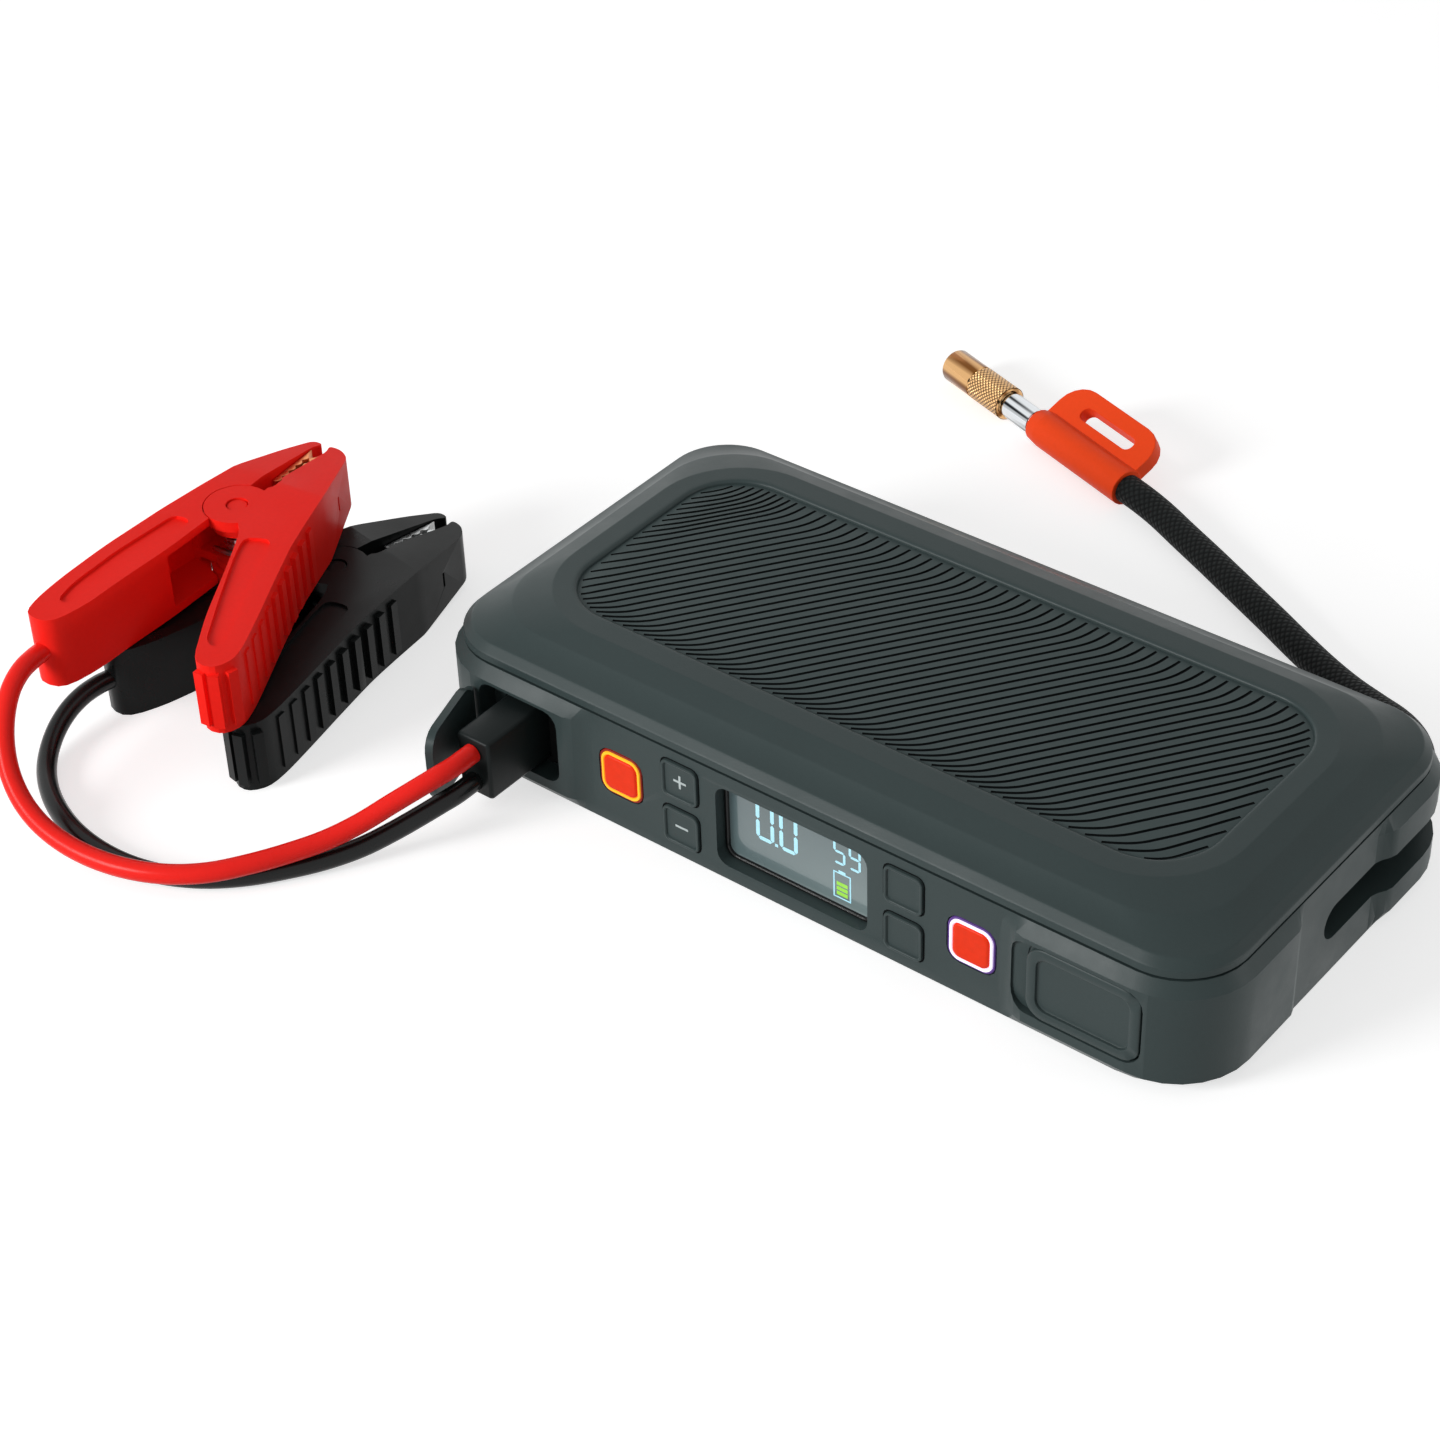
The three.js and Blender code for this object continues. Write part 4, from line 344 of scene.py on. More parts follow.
# 4a2e14 is painted shade in the knurl's valleys
look(knurled, "knurl", "e6b880", "4a2e14", around=12, per_metre=360)
look(metal, "copper", "d98a5c", 0.32, "a5603a")
look(metal, "tin", "c4c6c6", 0.32)
look(moulded, "board", "1d5a3a", 0.5, mottle=0.12)
look(moulded, "foil", "2c5fa8", 0.35, mottle=0.06, coat=0.4)
look(metal, "aluminium", "a9adb0", 0.4)
look(moulded, "nylon", "e8e4d8", 0.5, mottle=0.04)
look(braid, "hose", "0b0f0f", around=6, per_metre=230)

# ------------------------------------------------------------------ mesh helpers


def new_object(name, mesh, material):
    """An object with the mesh, and with only the named material if one is given."""
    o = bpy.data.objects.new(name, mesh)
    bpy.context.scene.collection.objects.link(o)
    if material:
        mesh.materials.clear()
        mesh.materials.append(MATERIALS[material])
    return o


def mesh_from(name, points, faces, material, sharp=40):
    """Points in millimetres."""
    mesh = bpy.data.meshes.new(name)
    mesh.from_pydata([tuple(c * MM for c in p) for p in points], [], faces)
    mesh.validate()
    o = new_object(name, mesh, material)
    smooth(o, sharp)
    return o


def smooth(o, sharp):
    """Smooth shading, apart from edges sharper than sharp degrees."""
    o.data.shade_smooth()
    o.data.set_sharp_from_angle(angle=math.radians(sharp))


def outward(o):
    """Faces turned to look out."""
    b = bmesh.new()
    b.from_mesh(o.data)
    bmesh.ops.recalc_face_normals(b, faces=b.faces)
    b.to_mesh(o.data)
    b.free()


def bevel(o, width, segments, angle):
    """Rounds the edges sharper than angle degrees by width millimetres."""
    mod = o.modifiers.new("bevel", "BEVEL")
    mod.width = width * MM
    mod.segments = segments
    mod.limit_method = "ANGLE"
    mod.angle_limit = math.radians(angle)
    mod.harden_normals = True
    mod.use_clamp_overlap = True
    mod.miter_outer = "MITER_ARC"


def baked(o):
    """The object with its modifiers worked into its mesh."""
    graph = bpy.context.evaluated_depsgraph_get()
    mesh = bpy.data.meshes.new_from_object(o.evaluated_get(graph))
    o.modifiers.clear()
    o.data = mesh
    return o


def rounded(half_w, half_h, radius, steps=8):
    """Outline of a round-cornered rectangle about 0, 0, counter-clockwise."""
    points = []
    for quarter, (su, sv) in enumerate(((1, 1), (-1, 1), (-1, -1), (1, -1))):
        for i in range(steps + 1):
            angle = (quarter + i / steps) * math.pi / 2
            points.append((su * (half_w - radius) + radius * math.cos(angle),
                           sv * (half_h - radius) + radius * math.sin(angle)))
    return points


OPEN = (False, False)


def stack(name, rings, material, sharp=40, caps=(True, True)):
    """Rings of points joined in turn, closed at the first and last ring as caps says."""
    count = len(rings[0])
    points = [p for ring in rings for p in ring]
    faces = []
    for level in range(len(rings) - 1):
        a = level * count
        for i in range(count):
            j = (i + 1) % count
            faces.append((a + i, a + j, a + count + j, a + count + i))
    if caps[0]:
        faces.append(tuple(range(count))[::-1])
    if caps[1]:
        faces.append(tuple(range((len(rings) - 1) * count, len(rings) * count)))
    o = mesh_from(name, points, faces, material, sharp)
    outward(o)
    return o


FACE = -57.5  # the case's front along Y


def on_front(middle, half, levels, steps=8):
    """Rings on the case's front: levels are (inset, corner radius, height over the front)."""
    x, z = middle
    return [[(x + a, FACE - proud, z + b)
             for a, b in rounded(half[0] - inset, half[1] - inset, corner, steps)]
            for inset, corner, proud in levels]


MERGE = 0.002  # millimetres between points that count as one
FLAT = 0.6  # degrees between faces that count as one


def finished(node, material, width, segments=2, angle=32, sharp=32):
    """A node's shape with its flat faces made whole, its edges rounded and its curves smoothed."""
    mesh = frame["nodes"][node].data.copy()
    b = bmesh.new()
    b.from_mesh(mesh)
    bmesh.ops.remove_doubles(b, verts=b.verts, dist=MERGE * MM)
    bmesh.ops.dissolve_limit(b, angle_limit=math.radians(FLAT), use_dissolve_boundaries=False,
                             verts=b.verts, edges=b.edges, delimit=set())
    bmesh.ops.recalc_face_normals(b, faces=b.faces)
    b.to_mesh(mesh)
    b.free()
    o = new_object(node + "_shape", mesh, material)
    smooth(o, sharp)
    if width:
        bevel(o, width, segments, angle)
    return o


def body_name(node):
    """The body that a CAD node belongs to."""
    return frame["nodes"][node]["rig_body"]


def stands_for(o, node):
    """Puts a shape in a node's place."""
    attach(o, body_name(node))
    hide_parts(node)


def added(o, node):
    """A detail that rides with a node's body."""
    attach(o, body_name(node))


# ------------------------------------------------------------------ cables and hose

CABLE_RADIUS = 2.65
HOSE_RADIUS = 4.3
RED_ROUTE = [
    (-194.35, -120.54, 31.8), (-193.98, -123.5, 31.8), (-193.3, -128.2, 31.2), (-191.9, -133.4, 29.1),
    (-189.5, -138.3, 25.5), (-186.1, -142.7, 20.8), (-181.3, -146.4, 15.7), (-174.9, -149.1, 11.5),
    (-167, -150.7, 8.5), (-157.6, -151.1, 6.8), (-147.8, -150.3, 6.2), (-137.4, -148, 6.3),
    (-127.6, -143.9, 6.8), (-119.6, -138, 7.4), (-112.9, -130.2, 8.2), (-107.4, -121.6, 8.8),
    (-102.6, -113.6, 9.9), (-98, -106, 12.4), (-93.6, -98.9, 16), (-89.7, -92.6, 19.1),
    (-87.4, -87.9, 20.8), (-86.1, -83.5, 21.55), (-85.8, -79.5, 21.8), (-85.8, -76.8, 21.8),
]
BLACK_ROUTE = [
    (-195.17, -100.6, 10.5), (-195.67, -103.6, 10.5), (-196.3, -108.5, 9.8), (-196.4, -113.7, 8.2),
    (-195.3, -119.3, 6), (-192.4, -125.1, 4), (-187.5, -130.8, 2.95), (-180.3, -136.2, 2.75),
    (-172, -140.4, 2.75), (-162.6, -143.4, 2.75), (-152.4, -144.8, 2.75), (-142.2, -144.3, 2.75),
    (-132.4, -141.7, 2.75), (-123.6, -137, 2.75), (-116, -130.4, 2.75), (-109.6, -122.4, 2.75),
    (-103.9, -114.3, 3.1), (-98.6, -106.3, 4.5), (-93.8, -99, 7.3), (-89.7, -92.6, 10.3),
    (-87.4, -87.9, 12), (-86.1, -83.5, 12.75), (-85.8, -79.5, 13), (-85.8, -76.8, 13),
]
HOSE_ROUTE = [
    (107.3, 8.6, 16.4), (107.3, 20, 16.4), (107.3, 32, 16.4), (107.1, 44, 16.4), (105.4, 55.2, 16.3),
    (101.3, 65.8, 15.4), (95, 74.9, 13.4), (87, 82.3, 10.6), (77.6, 88.2, 7.6), (67.4, 93.4, 5.5),
    (56.8, 98.6, 4.55), (45.6, 104.2, 4.35), (32.8, 110.8, 4.35), (18.8, 117.8, 4.35),
    (5.4, 124.5, 4.35), (-6.5, 130.2, 4.4), (-17.9, 135.3, 4.9), (-25, 137.66, 5.4), (-31.72, 139.91, 5.4),
]


def spline(points, steps):
    """Points along a centripetal curve through the given ones, steps to a span."""
    p = [Vector(q) for q in points]
    p = [p[0] * 2 - p[1]] + p + [p[-1] * 2 - p[-2]]
    out = []
    for i in range(1, len(p) - 2):
        a, b, c, d = p[i - 1:i + 3]
        t1 = (b - a).length ** 0.5
        t2 = t1 + (c - b).length ** 0.5
        t3 = t2 + (d - c).length ** 0.5
        for k in range(steps):
            t = t1 + (t2 - t1) * k / steps
            ab = a * ((t1 - t) / t1) + b * (t / t1)
            bc = b * ((t2 - t) / (t2 - t1)) + c * ((t - t1) / (t2 - t1))
            cd = c * ((t3 - t) / (t3 - t2)) + d * ((t - t2) / (t3 - t2))
            abc = ab * ((t2 - t) / t2) + bc * (t / t2)
            bcd = bc * ((t3 - t) / (t3 - t1)) + cd * ((t - t1) / (t3 - t1))
            out.append(abc * ((t2 - t) / (t2 - t1)) + bcd * ((t - t1) / (t2 - t1)))
    out.append(p[-2])
    return out


CABLE_INTO_HANDLE = 3


def cable(name, route, node, material):
    """A round cable along a route that starts at the clamp."""
    line = spline(route, steps=5)
    line.insert(0, line[0] + (line[0] - line[1]).normalized() * CABLE_INTO_HANDLE)
    data = bpy.data.curves.new(name, "CURVE")
    data.dimensions = "3D"
    data.bevel_depth = CABLE_RADIUS * MM
    data.bevel_resolution = 6
    data.use_fill_caps = True
    strand = data.splines.new("POLY")
    strand.points.add(len(line) - 1)
    for spot, p in zip(strand.points, line):
        spot.co = (*(p * MM), 1)
    o = bpy.data.objects.new(name, data)
    bpy.context.scene.collection.objects.link(o)
    data.materials.append(MATERIALS[material])
    stands_for(o, node)
    return o, line


def tube(name, line, radius, material, sides=32):
    """A mesh tube with a UV that runs round it and along it in metres."""
    points, faces, uvs = [], [], []
    side = Vector((0, 0, 1))
    along = 0.0
    for i, p in enumerate(line):
        ahead = (line[min(i + 1, len(line) - 1)] - line[max(i - 1, 0)]).normalized()
        side = (side - ahead * side.dot(ahead)).normalized()
        other = ahead.cross(side)
        if i:
            along += (p - line[i - 1]).length
        for k in range(sides + 1):
            angle = 2 * math.pi * k / sides
            points.append(p + side * (radius * math.cos(angle)) + other * (radius * math.sin(angle)))
            uvs.append((k / sides, along * MM))
    row = sides + 1
    for i in range(len(line) - 1):
        for k in range(sides):
            a = i * row + k
            faces.append((a, a + 1, a + row + 1, a + row))
    o = mesh_from(name, points, faces, material, sharp=60)
    layer = o.data.uv_layers.new(name="around")
    for loop in o.data.loops:
        layer.data[loop.index].uv = uvs[loop.vertex_index]
    return o


def make_hose():
    """The braided hose along its route."""
    line = spline(HOSE_ROUTE, steps=8)
    o = tube("air_hose_braid", line, HOSE_RADIUS, "hose")
    stands_for(o, "air_hose")
    return o, line


red_run = cable("red_cable_run", RED_ROUTE, "red_cable", "red_cable")
black_run = cable("black_cable_run", BLACK_ROUTE, "black_cable", "black_cable")
hose_run = make_hose()

# ------------------------------------------------------------------ case and cover

SEAM_X, SEAM_Y = 115, 57.5
CORNER_STEPS = 14
COVER_INSIDE = [(39.3, 17, 20), (36, 3.4, 15.4), (33.9, 2.6, 15.4)]  # as in the profile below
COVER_PROFILE = [  # height, inset from the seam outline, corner radius
    (33.9, 0, 18), (35.8, 0.05, 18),
    (38.05, 2.2, 16.2), (38.47, 3.25, 16.9), (38.96, 4.3, 17.6), (39.53, 5.35, 18.35),
    (40.18, 6.4, 19.05), (40.9, 7.45, 19.8), (41.7, 8.5, 20.5),
    (44, 14.5, 25), (44, 18.5, 22),
]
GRIP_HALF = (94, 35.85)
GRIP_CORNER = 17
GRIP_FLOOR = 41.5
GRIP_EDGE = [  # outset from the grip outline, height
    (1.8, 44), (1.0, 44), (0.55, 43.93), (0.2, 43.72), (0, 43.35), (0, GRIP_FLOOR),
]
CREASE_REACH = 0.28
CREASE_HOLD = 2.5  # reaches from the corner to the point that holds the shading
CREASE_STEPS = 4
CREASE_LEAST = math.radians(10)


def creased(profile):
    """The profile with each clear corner rounded, and a close point on each side to hold the shading."""
    points = [Vector(p) for p in profile]
    out = [points[0]]
    for before, corner, after in zip(points, points[1:], points[2:]):
        into, on = (before - corner).normalized(), (after - corner).normalized()
        if into.angle(-on) < CREASE_LEAST:
            out.append(corner)
            continue
        near, far = corner + into * CREASE_REACH, corner + on * CREASE_REACH
        out.append(corner + into * (CREASE_HOLD * CREASE_REACH))
        for k in range(CREASE_STEPS + 1):
            t = k / CREASE_STEPS
            out.append(near.lerp(corner, t).lerp(corner.lerp(far, t), t))
        out.append(corner + on * (CREASE_HOLD * CREASE_REACH))
    out.append(points[-1])
    return out


def grown_rings(half, corner, edge):
    """Level rings of a rounded outline: edge lists (outset, height)."""
    return [[(x, y, h) for x, y in rounded(half[0] + grow, half[1] + grow, corner + grow, CORNER_STEPS)]
            for grow, h in edge]


def cover_rings():
    """The cover from its inside, over the rim and the slopes, down into the grip's recess."""
    rings = COVER_INSIDE + [tuple(p) for p in creased(COVER_PROFILE)]
    out = [[(x, y, h) for x, y in rounded(SEAM_X - inset, SEAM_Y - inset, corner, CORNER_STEPS)]
           for h, inset, corner in rings]
    return out + grown_rings(GRIP_HALF, GRIP_CORNER, GRIP_EDGE)


def make_case():
    """The lower case, the cover and the seal between them."""
    case = finished("lower_case", "slate", width=0.3, segments=3, angle=30, sharp=30)
    stands_for(case, "lower_case")
    cover = stack("top_cover_shape", cover_rings(), "slate", sharp=50)
    stands_for(cover, "top_cover")
    stands_for(finished("seam_seal", "rubber", width=0), "seam_seal")


# ------------------------------------------------------------------ grip panel

PANEL_HALF = (93.7, 35.55)
PANEL_CORNER = 16.7
PANEL_TOP = 43.25
PANEL_EDGE = [  # outset from the panel outline, height
    (0.28, 41.8), (0.28, 42.9), (-0.8, 43.0), (-2, 43.1), (-3.4, 43.2), (-5, PANEL_TOP),
]
LINE_PITCH = 3.4
LINE_SECTION = [  # across, up from the panel's top
    (-0.558, 0.375), (-0.45, 0), (-0.306, -0.45), (0.306, -0.45), (0.45, 0), (0.558, 0.375),
]
LINE_MARGIN = 0.5
LINES_PAST = (30, 50)  # how far outside the panel the first and last lines cross its middle
STEADY_TO = 22  # along Y from the panel's middle, where the lines start to turn
LINE_STEPS = (0.9, 0.45)  # along Y, before that and past it
REAR_SLOPE = 0.05
# Where the slope changes: the place, over how far, and by how much. The last two scale it.
FROM_REAR = (35, -13, 0.65)
AT_FRONT = (-27, -12, 2.2)
AT_LEFT = (-84, -10, 0.5)
AT_RIGHT = (82, 9, -0.25)


def ease(t):
    """0 to 1 with soft ends."""
    t = min(max(t, 0), 1)
    return t * t * (3 - 2 * t)


def bend(place, start, reach, change):
    """None of the change at the start, and all of it from reach onwards."""
    return change * ease((place - start) / reach)


def line_slope(x, y):
    """How far a line of the grip pattern moves along X for each step along Y."""
    slope = REAR_SLOPE + bend(y, *FROM_REAR) + bend(y, *AT_FRONT)
    return slope * (1 + bend(x, *AT_LEFT) + bend(x, *AT_RIGHT))


def pattern_line(start):
    """One line of the pattern, followed both ways from the panel's middle."""
    halves = []
    for sign in (1, -1):
        x, y, way = start, 0.0, []
        while abs(y) < PANEL_HALF[1] + 1:
            way.append((x, y))
            step = LINE_STEPS[0] if abs(y) < STEADY_TO else LINE_STEPS[1]
            x += sign * step * line_slope(x, y)
            y += sign * step
        halves.append(way)
    return halves[1][:0:-1] + halves[0]


def inside_panel(x, y, margin):
    """Whether a point lies in the panel's outline, margin away from its edge."""
    dx = max(abs(x) - (PANEL_HALF[0] - PANEL_CORNER), 0)
    dy = max(abs(y) - (PANEL_HALF[1] - PANEL_CORNER), 0)
    return math.hypot(dx, dy) <= PANEL_CORNER - margin


def groove_cutters():
    """Sweeps of a shallow tapered section along each line, near-black for the painted shade in the grooves.
    """
    points, faces = [], []
    count = len(LINE_SECTION)
    start = -PANEL_HALF[0] - LINES_PAST[0]
    while start < PANEL_HALF[0] + LINES_PAST[1]:
        line = [q for q in pattern_line(start) if inside_panel(*q, LINE_MARGIN)]
        start += LINE_PITCH
        if len(line) < 3:
            continue
        base = len(points)
        for i, (x, y) in enumerate(line):
            ax, ay = line[max(i - 1, 0)]
            bx, by = line[min(i + 1, len(line) - 1)]
            run = math.hypot(bx - ax, by - ay)
            nx, ny = (by - ay) / run, -(bx - ax) / run
            for u, v in LINE_SECTION:
                points.append((x + nx * u, y + ny * u, PANEL_TOP + v))
        for i in range(len(line) - 1):
            for k in range(count):
                m = (k + 1) % count
                a = base + i * count
                faces.append((a + k, a + m, a + count + m, a + count + k))
        faces.append(tuple(base + k for k in range(count))[::-1])
        end = base + (len(line) - 1) * count
        faces.append(tuple(end + k for k in range(count)))
    cutters = mesh_from("grooves", points, faces, "groove", sharp=30)
    outward(cutters)
    return cutters


def make_grip():
    """The grip panel with its pattern cut in, the grooves near-black with painted shade."""
    rings = grown_rings(PANEL_HALF, PANEL_CORNER, PANEL_EDGE)
    panel = stack("grip_panel_shape", rings, "grip", sharp=40)
    cutters = groove_cutters()
    # the cut faces take the cutters' near-black: painted shade in the grooves
    panel.data.materials.append(MATERIALS["groove"])
    mod = panel.modifiers.new("cut", "BOOLEAN")
    mod.operation = "DIFFERENCE"
    mod.object = cutters
    mod.solver = "EXACT"
    mod.material_mode = "TRANSFER"
    baked(panel)
    bpy.data.objects.remove(cutters)
    smooth(panel, 35)
    stands_for(panel, "grip_panel")


make_case()
make_grip()

# ------------------------------------------------------------------ console

BIG = [("start", -53.7, "amber"), ("power", 52.6, "white_ring")]  # name, x, lit ring
BIG_Z = 17.2
SMALL = [("plus_button", -34.5, 24.3), ("minus_button", -34.5, 9.9),  # name, x, z
         ("unit_button", 33.2, 24.3), ("air_button", 33.2, 9.9)]
DISPLAY = (-0.5, 16.8)
DISPLAY_HALF = (22.95, 12.1)
CAP_HALF = (5.2, 5.2)
RING_HALF = (6.15, 6.15)
BEZEL_HALF = (6.74, 6.74)
KEY_HALF = (5.62, 5.62)
GAP_HALF = (6.12, 6.12)
# The half sizes of the bars that make up a key's mark.
MARKS = {"plus_button": [(2.0, 0.32), (0.32, 2.0)], "minus_button": [(2.0, 0.32)]}
MARK_LIFT = 0.002  # keeps the second bar of a mark out of the first


def make_big_button(name, x, light):
    """A cap with a faint painted glow, the light guide round it and the thin edge round that."""
    middle = (x, BIG_Z)
    cap = stack(name + "_button_shape", on_front(middle, CAP_HALF, [
        (0, 2.2, -3.5), (0, 2.2, 0.05), (0.15, 2.05, 0.4),
        (0.5, 1.7, 0.58), (1.0, 1.4, 0.6), (2.8, 0.9, 0.52),
    ]), "cap", sharp=50)
    stands_for(cap, name + "_button")
    ring = stack(name + "_light_shape", on_front(middle, RING_HALF, [
        (0.79, 2.3, -2.5), (0.79, 2.3, 0.15), (0.69, 2.4, 0.35), (0.4, 2.65, 0.4),
        (0.1, 2.9, 0.35), (0, 3.0, 0.15), (0, 3.0, -2.5),
    ]), light, sharp=50, caps=OPEN)
    stands_for(ring, name + "_light_ring")
    bezel = stack(name + "_bezel", on_front(middle, BEZEL_HALF, [
        (0.54, 3.05, -2.5), (0.54, 3.05, 0), (0.44, 3.1, 0.1),
        (0.14, 3.35, 0.1), (0, 3.45, -0.05), (0, 3.45, -2.5),
    ]), light + "_edge", sharp=50, caps=OPEN)
    added(bezel, name + "_light_ring")


def make_small_button(name, x, z):
    """A key with a raised lip, its mark if it has one, and a dark ring of painted shade in the gap round it.
    """
    middle = (x, z)
    cap = stack(name + "_shape", on_front(middle, KEY_HALF, [
        (0, 2, -3.5), (0, 2, 0.35), (0.1, 1.9, 0.62), (0.32, 1.7, 0.7), (0.62, 1.4, 0.7),
        (0.82, 1.2, 0.55), (0.97, 1.1, 0.12), (1.17, 1, 0.08), (2.62, 0.8, 0.08),
    ]), "slate_button", sharp=40)
    stands_for(cap, name)
    for i, half in enumerate(MARKS.get(name, [])):
        lift = MARK_LIFT * i
        bar = stack("%s_mark_%d" % (name, i), on_front(middle, half, [
            (0, 0.06, 0), (0, 0.06, 0.14 + lift), (0.05, 0.05, 0.16 + lift),
        ], steps=2), "symbol", sharp=40)
        added(bar, name)
    # a dark ring put in the gap round the key: painted shade
    gap = stack(name + "_gap_shade", on_front(middle, GAP_HALF, [
        (0, 2.3, -0.2), (0, 2.3, -0.1), (0.52, 2.0, -0.1), (0.52, 2.0, -0.2),
    ]), "groove", sharp=40, caps=OPEN)
    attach(gap, "pack")


# Which of the seven segments each digit lights: top, upper right, lower right, bottom,
# lower left, upper left, middle.
SEGMENTS = {"0": "1111110", "5": "1011011", "9": "1111011"}
SEGMENT_GAP = 0.12  # of a segment's thickness
PRINT_Y = -53.41  # the back of what shows on the display's glass
PRINT_DEPTH = 0.03
BIG_DIGIT = {"low": 14.2, "width": 5.6, "height": 12.4, "thick": 1.15}
SMALL_DIGIT = {"low": 18.3, "width": 3.6, "height": 7.6, "thick": 0.72}
DIGITS = [("0", -14.2, BIG_DIGIT), ("0", -7.0, BIG_DIGIT), ("5", 9.4, SMALL_DIGIT), ("9", 14.0, SMALL_DIGIT)]
POINT = (-8.4, -7.5, 14.2, 15.1)  # left, right, low, high, as the bars below
BATTERY = [(9.3, 9.7, 7.9, 15.4), (14.2, 14.6, 7.9, 15.4), (9.3, 14.6, 7.6, 8.0),
           (9.3, 14.6, 15.3, 15.7), (10.9, 13, 15.7, 16.4)]
BARS = [(10.3, 13.6, 8.6 + i * 1.5, 9.7 + i * 1.5) for i in range(3)]


def digit(char, left, low, width, height, thick):
    """Lit segments with pointed ends, as flat plates."""
    mid = low + height / 2
    right, high = left + width, low + height
    gap = thick * SEGMENT_GAP
    t = thick / 2
    spans = [
        ((left + t, high - t), (right - t, high - t)), ((right - t, high - t), (right - t, mid)),
        ((right - t, mid), (right - t, low + t)), ((left + t, low + t), (right - t, low + t)),
        ((left + t, mid), (left + t, low + t)), ((left + t, high - t), (left + t, mid)),
        ((left + t, mid), (right - t, mid)),
    ]
    points, faces = [], []
    for on, (a, b) in zip(SEGMENTS[char], spans):
        if on == "0":
            continue
        a, b = Vector(a), Vector(b)
        run = (b - a).normalized()
        across = Vector((-run.y, run.x)) * t
        a, b = a + run * gap, b - run * gap
        near, far = a + run * t, b - run * t
        shape = [a, near + across, far + across, b, far - across, near - across]
        base = len(points)
        for y in (PRINT_Y, PRINT_Y - PRINT_DEPTH):
            points += [(p.x, y, p.y) for p in shape]
        faces.append(tuple(base + i for i in range(6)))
        faces.append(tuple(base + 6 + i for i in range(6))[::-1])
        faces += [(base + i, base + (i + 1) % 6, base + 6 + (i + 1) % 6, base + 6 + i) for i in range(6)]
    return points, faces


def plate(name, groups, material):
    """One object of several flat shapes, each given by its points and faces."""
    points, faces = [], []
    for p, f in groups:
        faces += [tuple(len(points) + i for i in face) for face in f]
        points += p
    o = mesh_from(name, points, faces, material, sharp=40)
    outward(o)
    return o


def box_plate(x0, x1, z0, z1):
    """A flat bar on the display's glass."""
    points = [(x, y, z) for y in (PRINT_Y, PRINT_Y - PRINT_DEPTH)
              for x, z in ((x0, z0), (x1, z0), (x1, z1), (x0, z1))]
    faces = [(0, 1, 2, 3), (7, 6, 5, 4)] + [(i, (i + 1) % 4, 4 + (i + 1) % 4, 4 + i) for i in range(4)]
    return points, faces


def make_display():
    """The glass, the rim round it, and what is lit on it."""
    glass = stack("display_glass", on_front(DISPLAY, DISPLAY_HALF, [
        (-1.5, 4.9, -5.2), (-1.5, 4.9, -4.15), (0.3, 3.2, -4.1),
    ]), "lcd", sharp=40)
    stands_for(glass, "display_lens")
    rim = stack("display_rim", on_front(DISPLAY, DISPLAY_HALF, [
        (0.02, 3.45, -4.2), (0.02, 3.45, -3.4), (0.25, 3.25, -3.2),
        (0.75, 2.8, -3.2), (1.0, 2.55, -3.45), (1.05, 2.5, -4.1),
    ]), "frame", sharp=40, caps=OPEN)
    added(rim, "display_lens")
    lit = [digit(char, left, **size) for char, left, size in DIGITS]
    lit += [box_plate(*bar) for bar in [POINT] + BATTERY]
    added(plate("display_digits", lit, "digit"), "display_lens")
    added(plate("display_charge", [box_plate(*bar) for bar in BARS], "charge"), "display_lens")


for button in BIG:
    make_big_button(*button)
for button in SMALL:
    make_small_button(*button)
make_display()

# ------------------------------------------------------------------ doors, ports and clamps

PLUG_ROUNDING = 0.9
PLUG_END_BAND = 0.01  # edges this near the plug's outer end are its rim
DOOR_MIDDLE = (84.75, 17.7)
DOOR_HALF = (15.4, 10.7)
KNUCKLE = 1  # radius of the hinge edge
CORNER_RELIEF = (1.2, 7.3, -59.3)  # from the hinge axis, up or down from the middle, the front's y


def make_plug():
    """The plug with its outer end softly rounded."""
    plug = finished("jump_plug", "black", width=0)
    low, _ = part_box("jump_plug")
    end = low[1] + PLUG_END_BAND * MM
    b = bmesh.new()
    b.from_mesh(plug.data)
    rim = [e for e in b.edges if all(v.co.y < end for v in e.verts)]
    bmesh.ops.bevel(b, geom=rim, offset=PLUG_ROUNDING * MM, segments=4, profile=0.5, affect="EDGES")
    b.to_mesh(plug.data)
    b.free()
    smooth(plug, 40)
    stands_for(plug, "jump_plug")


def make_door():
    """The USB door with its sunken panel, rounded where it turns on its hinge."""
    door = stack("usb_door_shape", on_front(DOOR_MIDDLE, DOOR_HALF, [
        (0, 5, 0.5), (0, 5, 2.05), (0.15, 4.85, 2.32), (0.5, 4.5, 2.48),
        (2.4, 3.3, 2.5), (2.65, 3.1, 2.38), (2.75, 3.0, 2.1), (2.8, 3.0, 1.75),
        (3.0, 2.8, 1.62), (3.5, 2.4, 1.6),
    ]), "slate_button", sharp=40)
    low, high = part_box("usb_door")
    knuckle = KNUCKLE * MM
    axis = Vector((high[0] - knuckle, low[1] + knuckle))
    reach, rise, front = CORNER_RELIEF
    for v in door.data.vertices:
        out = v.co.xy - axis
        if out.x > 0 and out.length > knuckle:
            v.co.xy = axis + out.normalized() * knuckle
        if out.x > -reach * MM and abs(v.co.z - DOOR_MIDDLE[1] * MM) > rise * MM:
            v.co.y = max(v.co.y, front * MM)
    stands_for(door, "usb_door")


make_plug()
make_door()

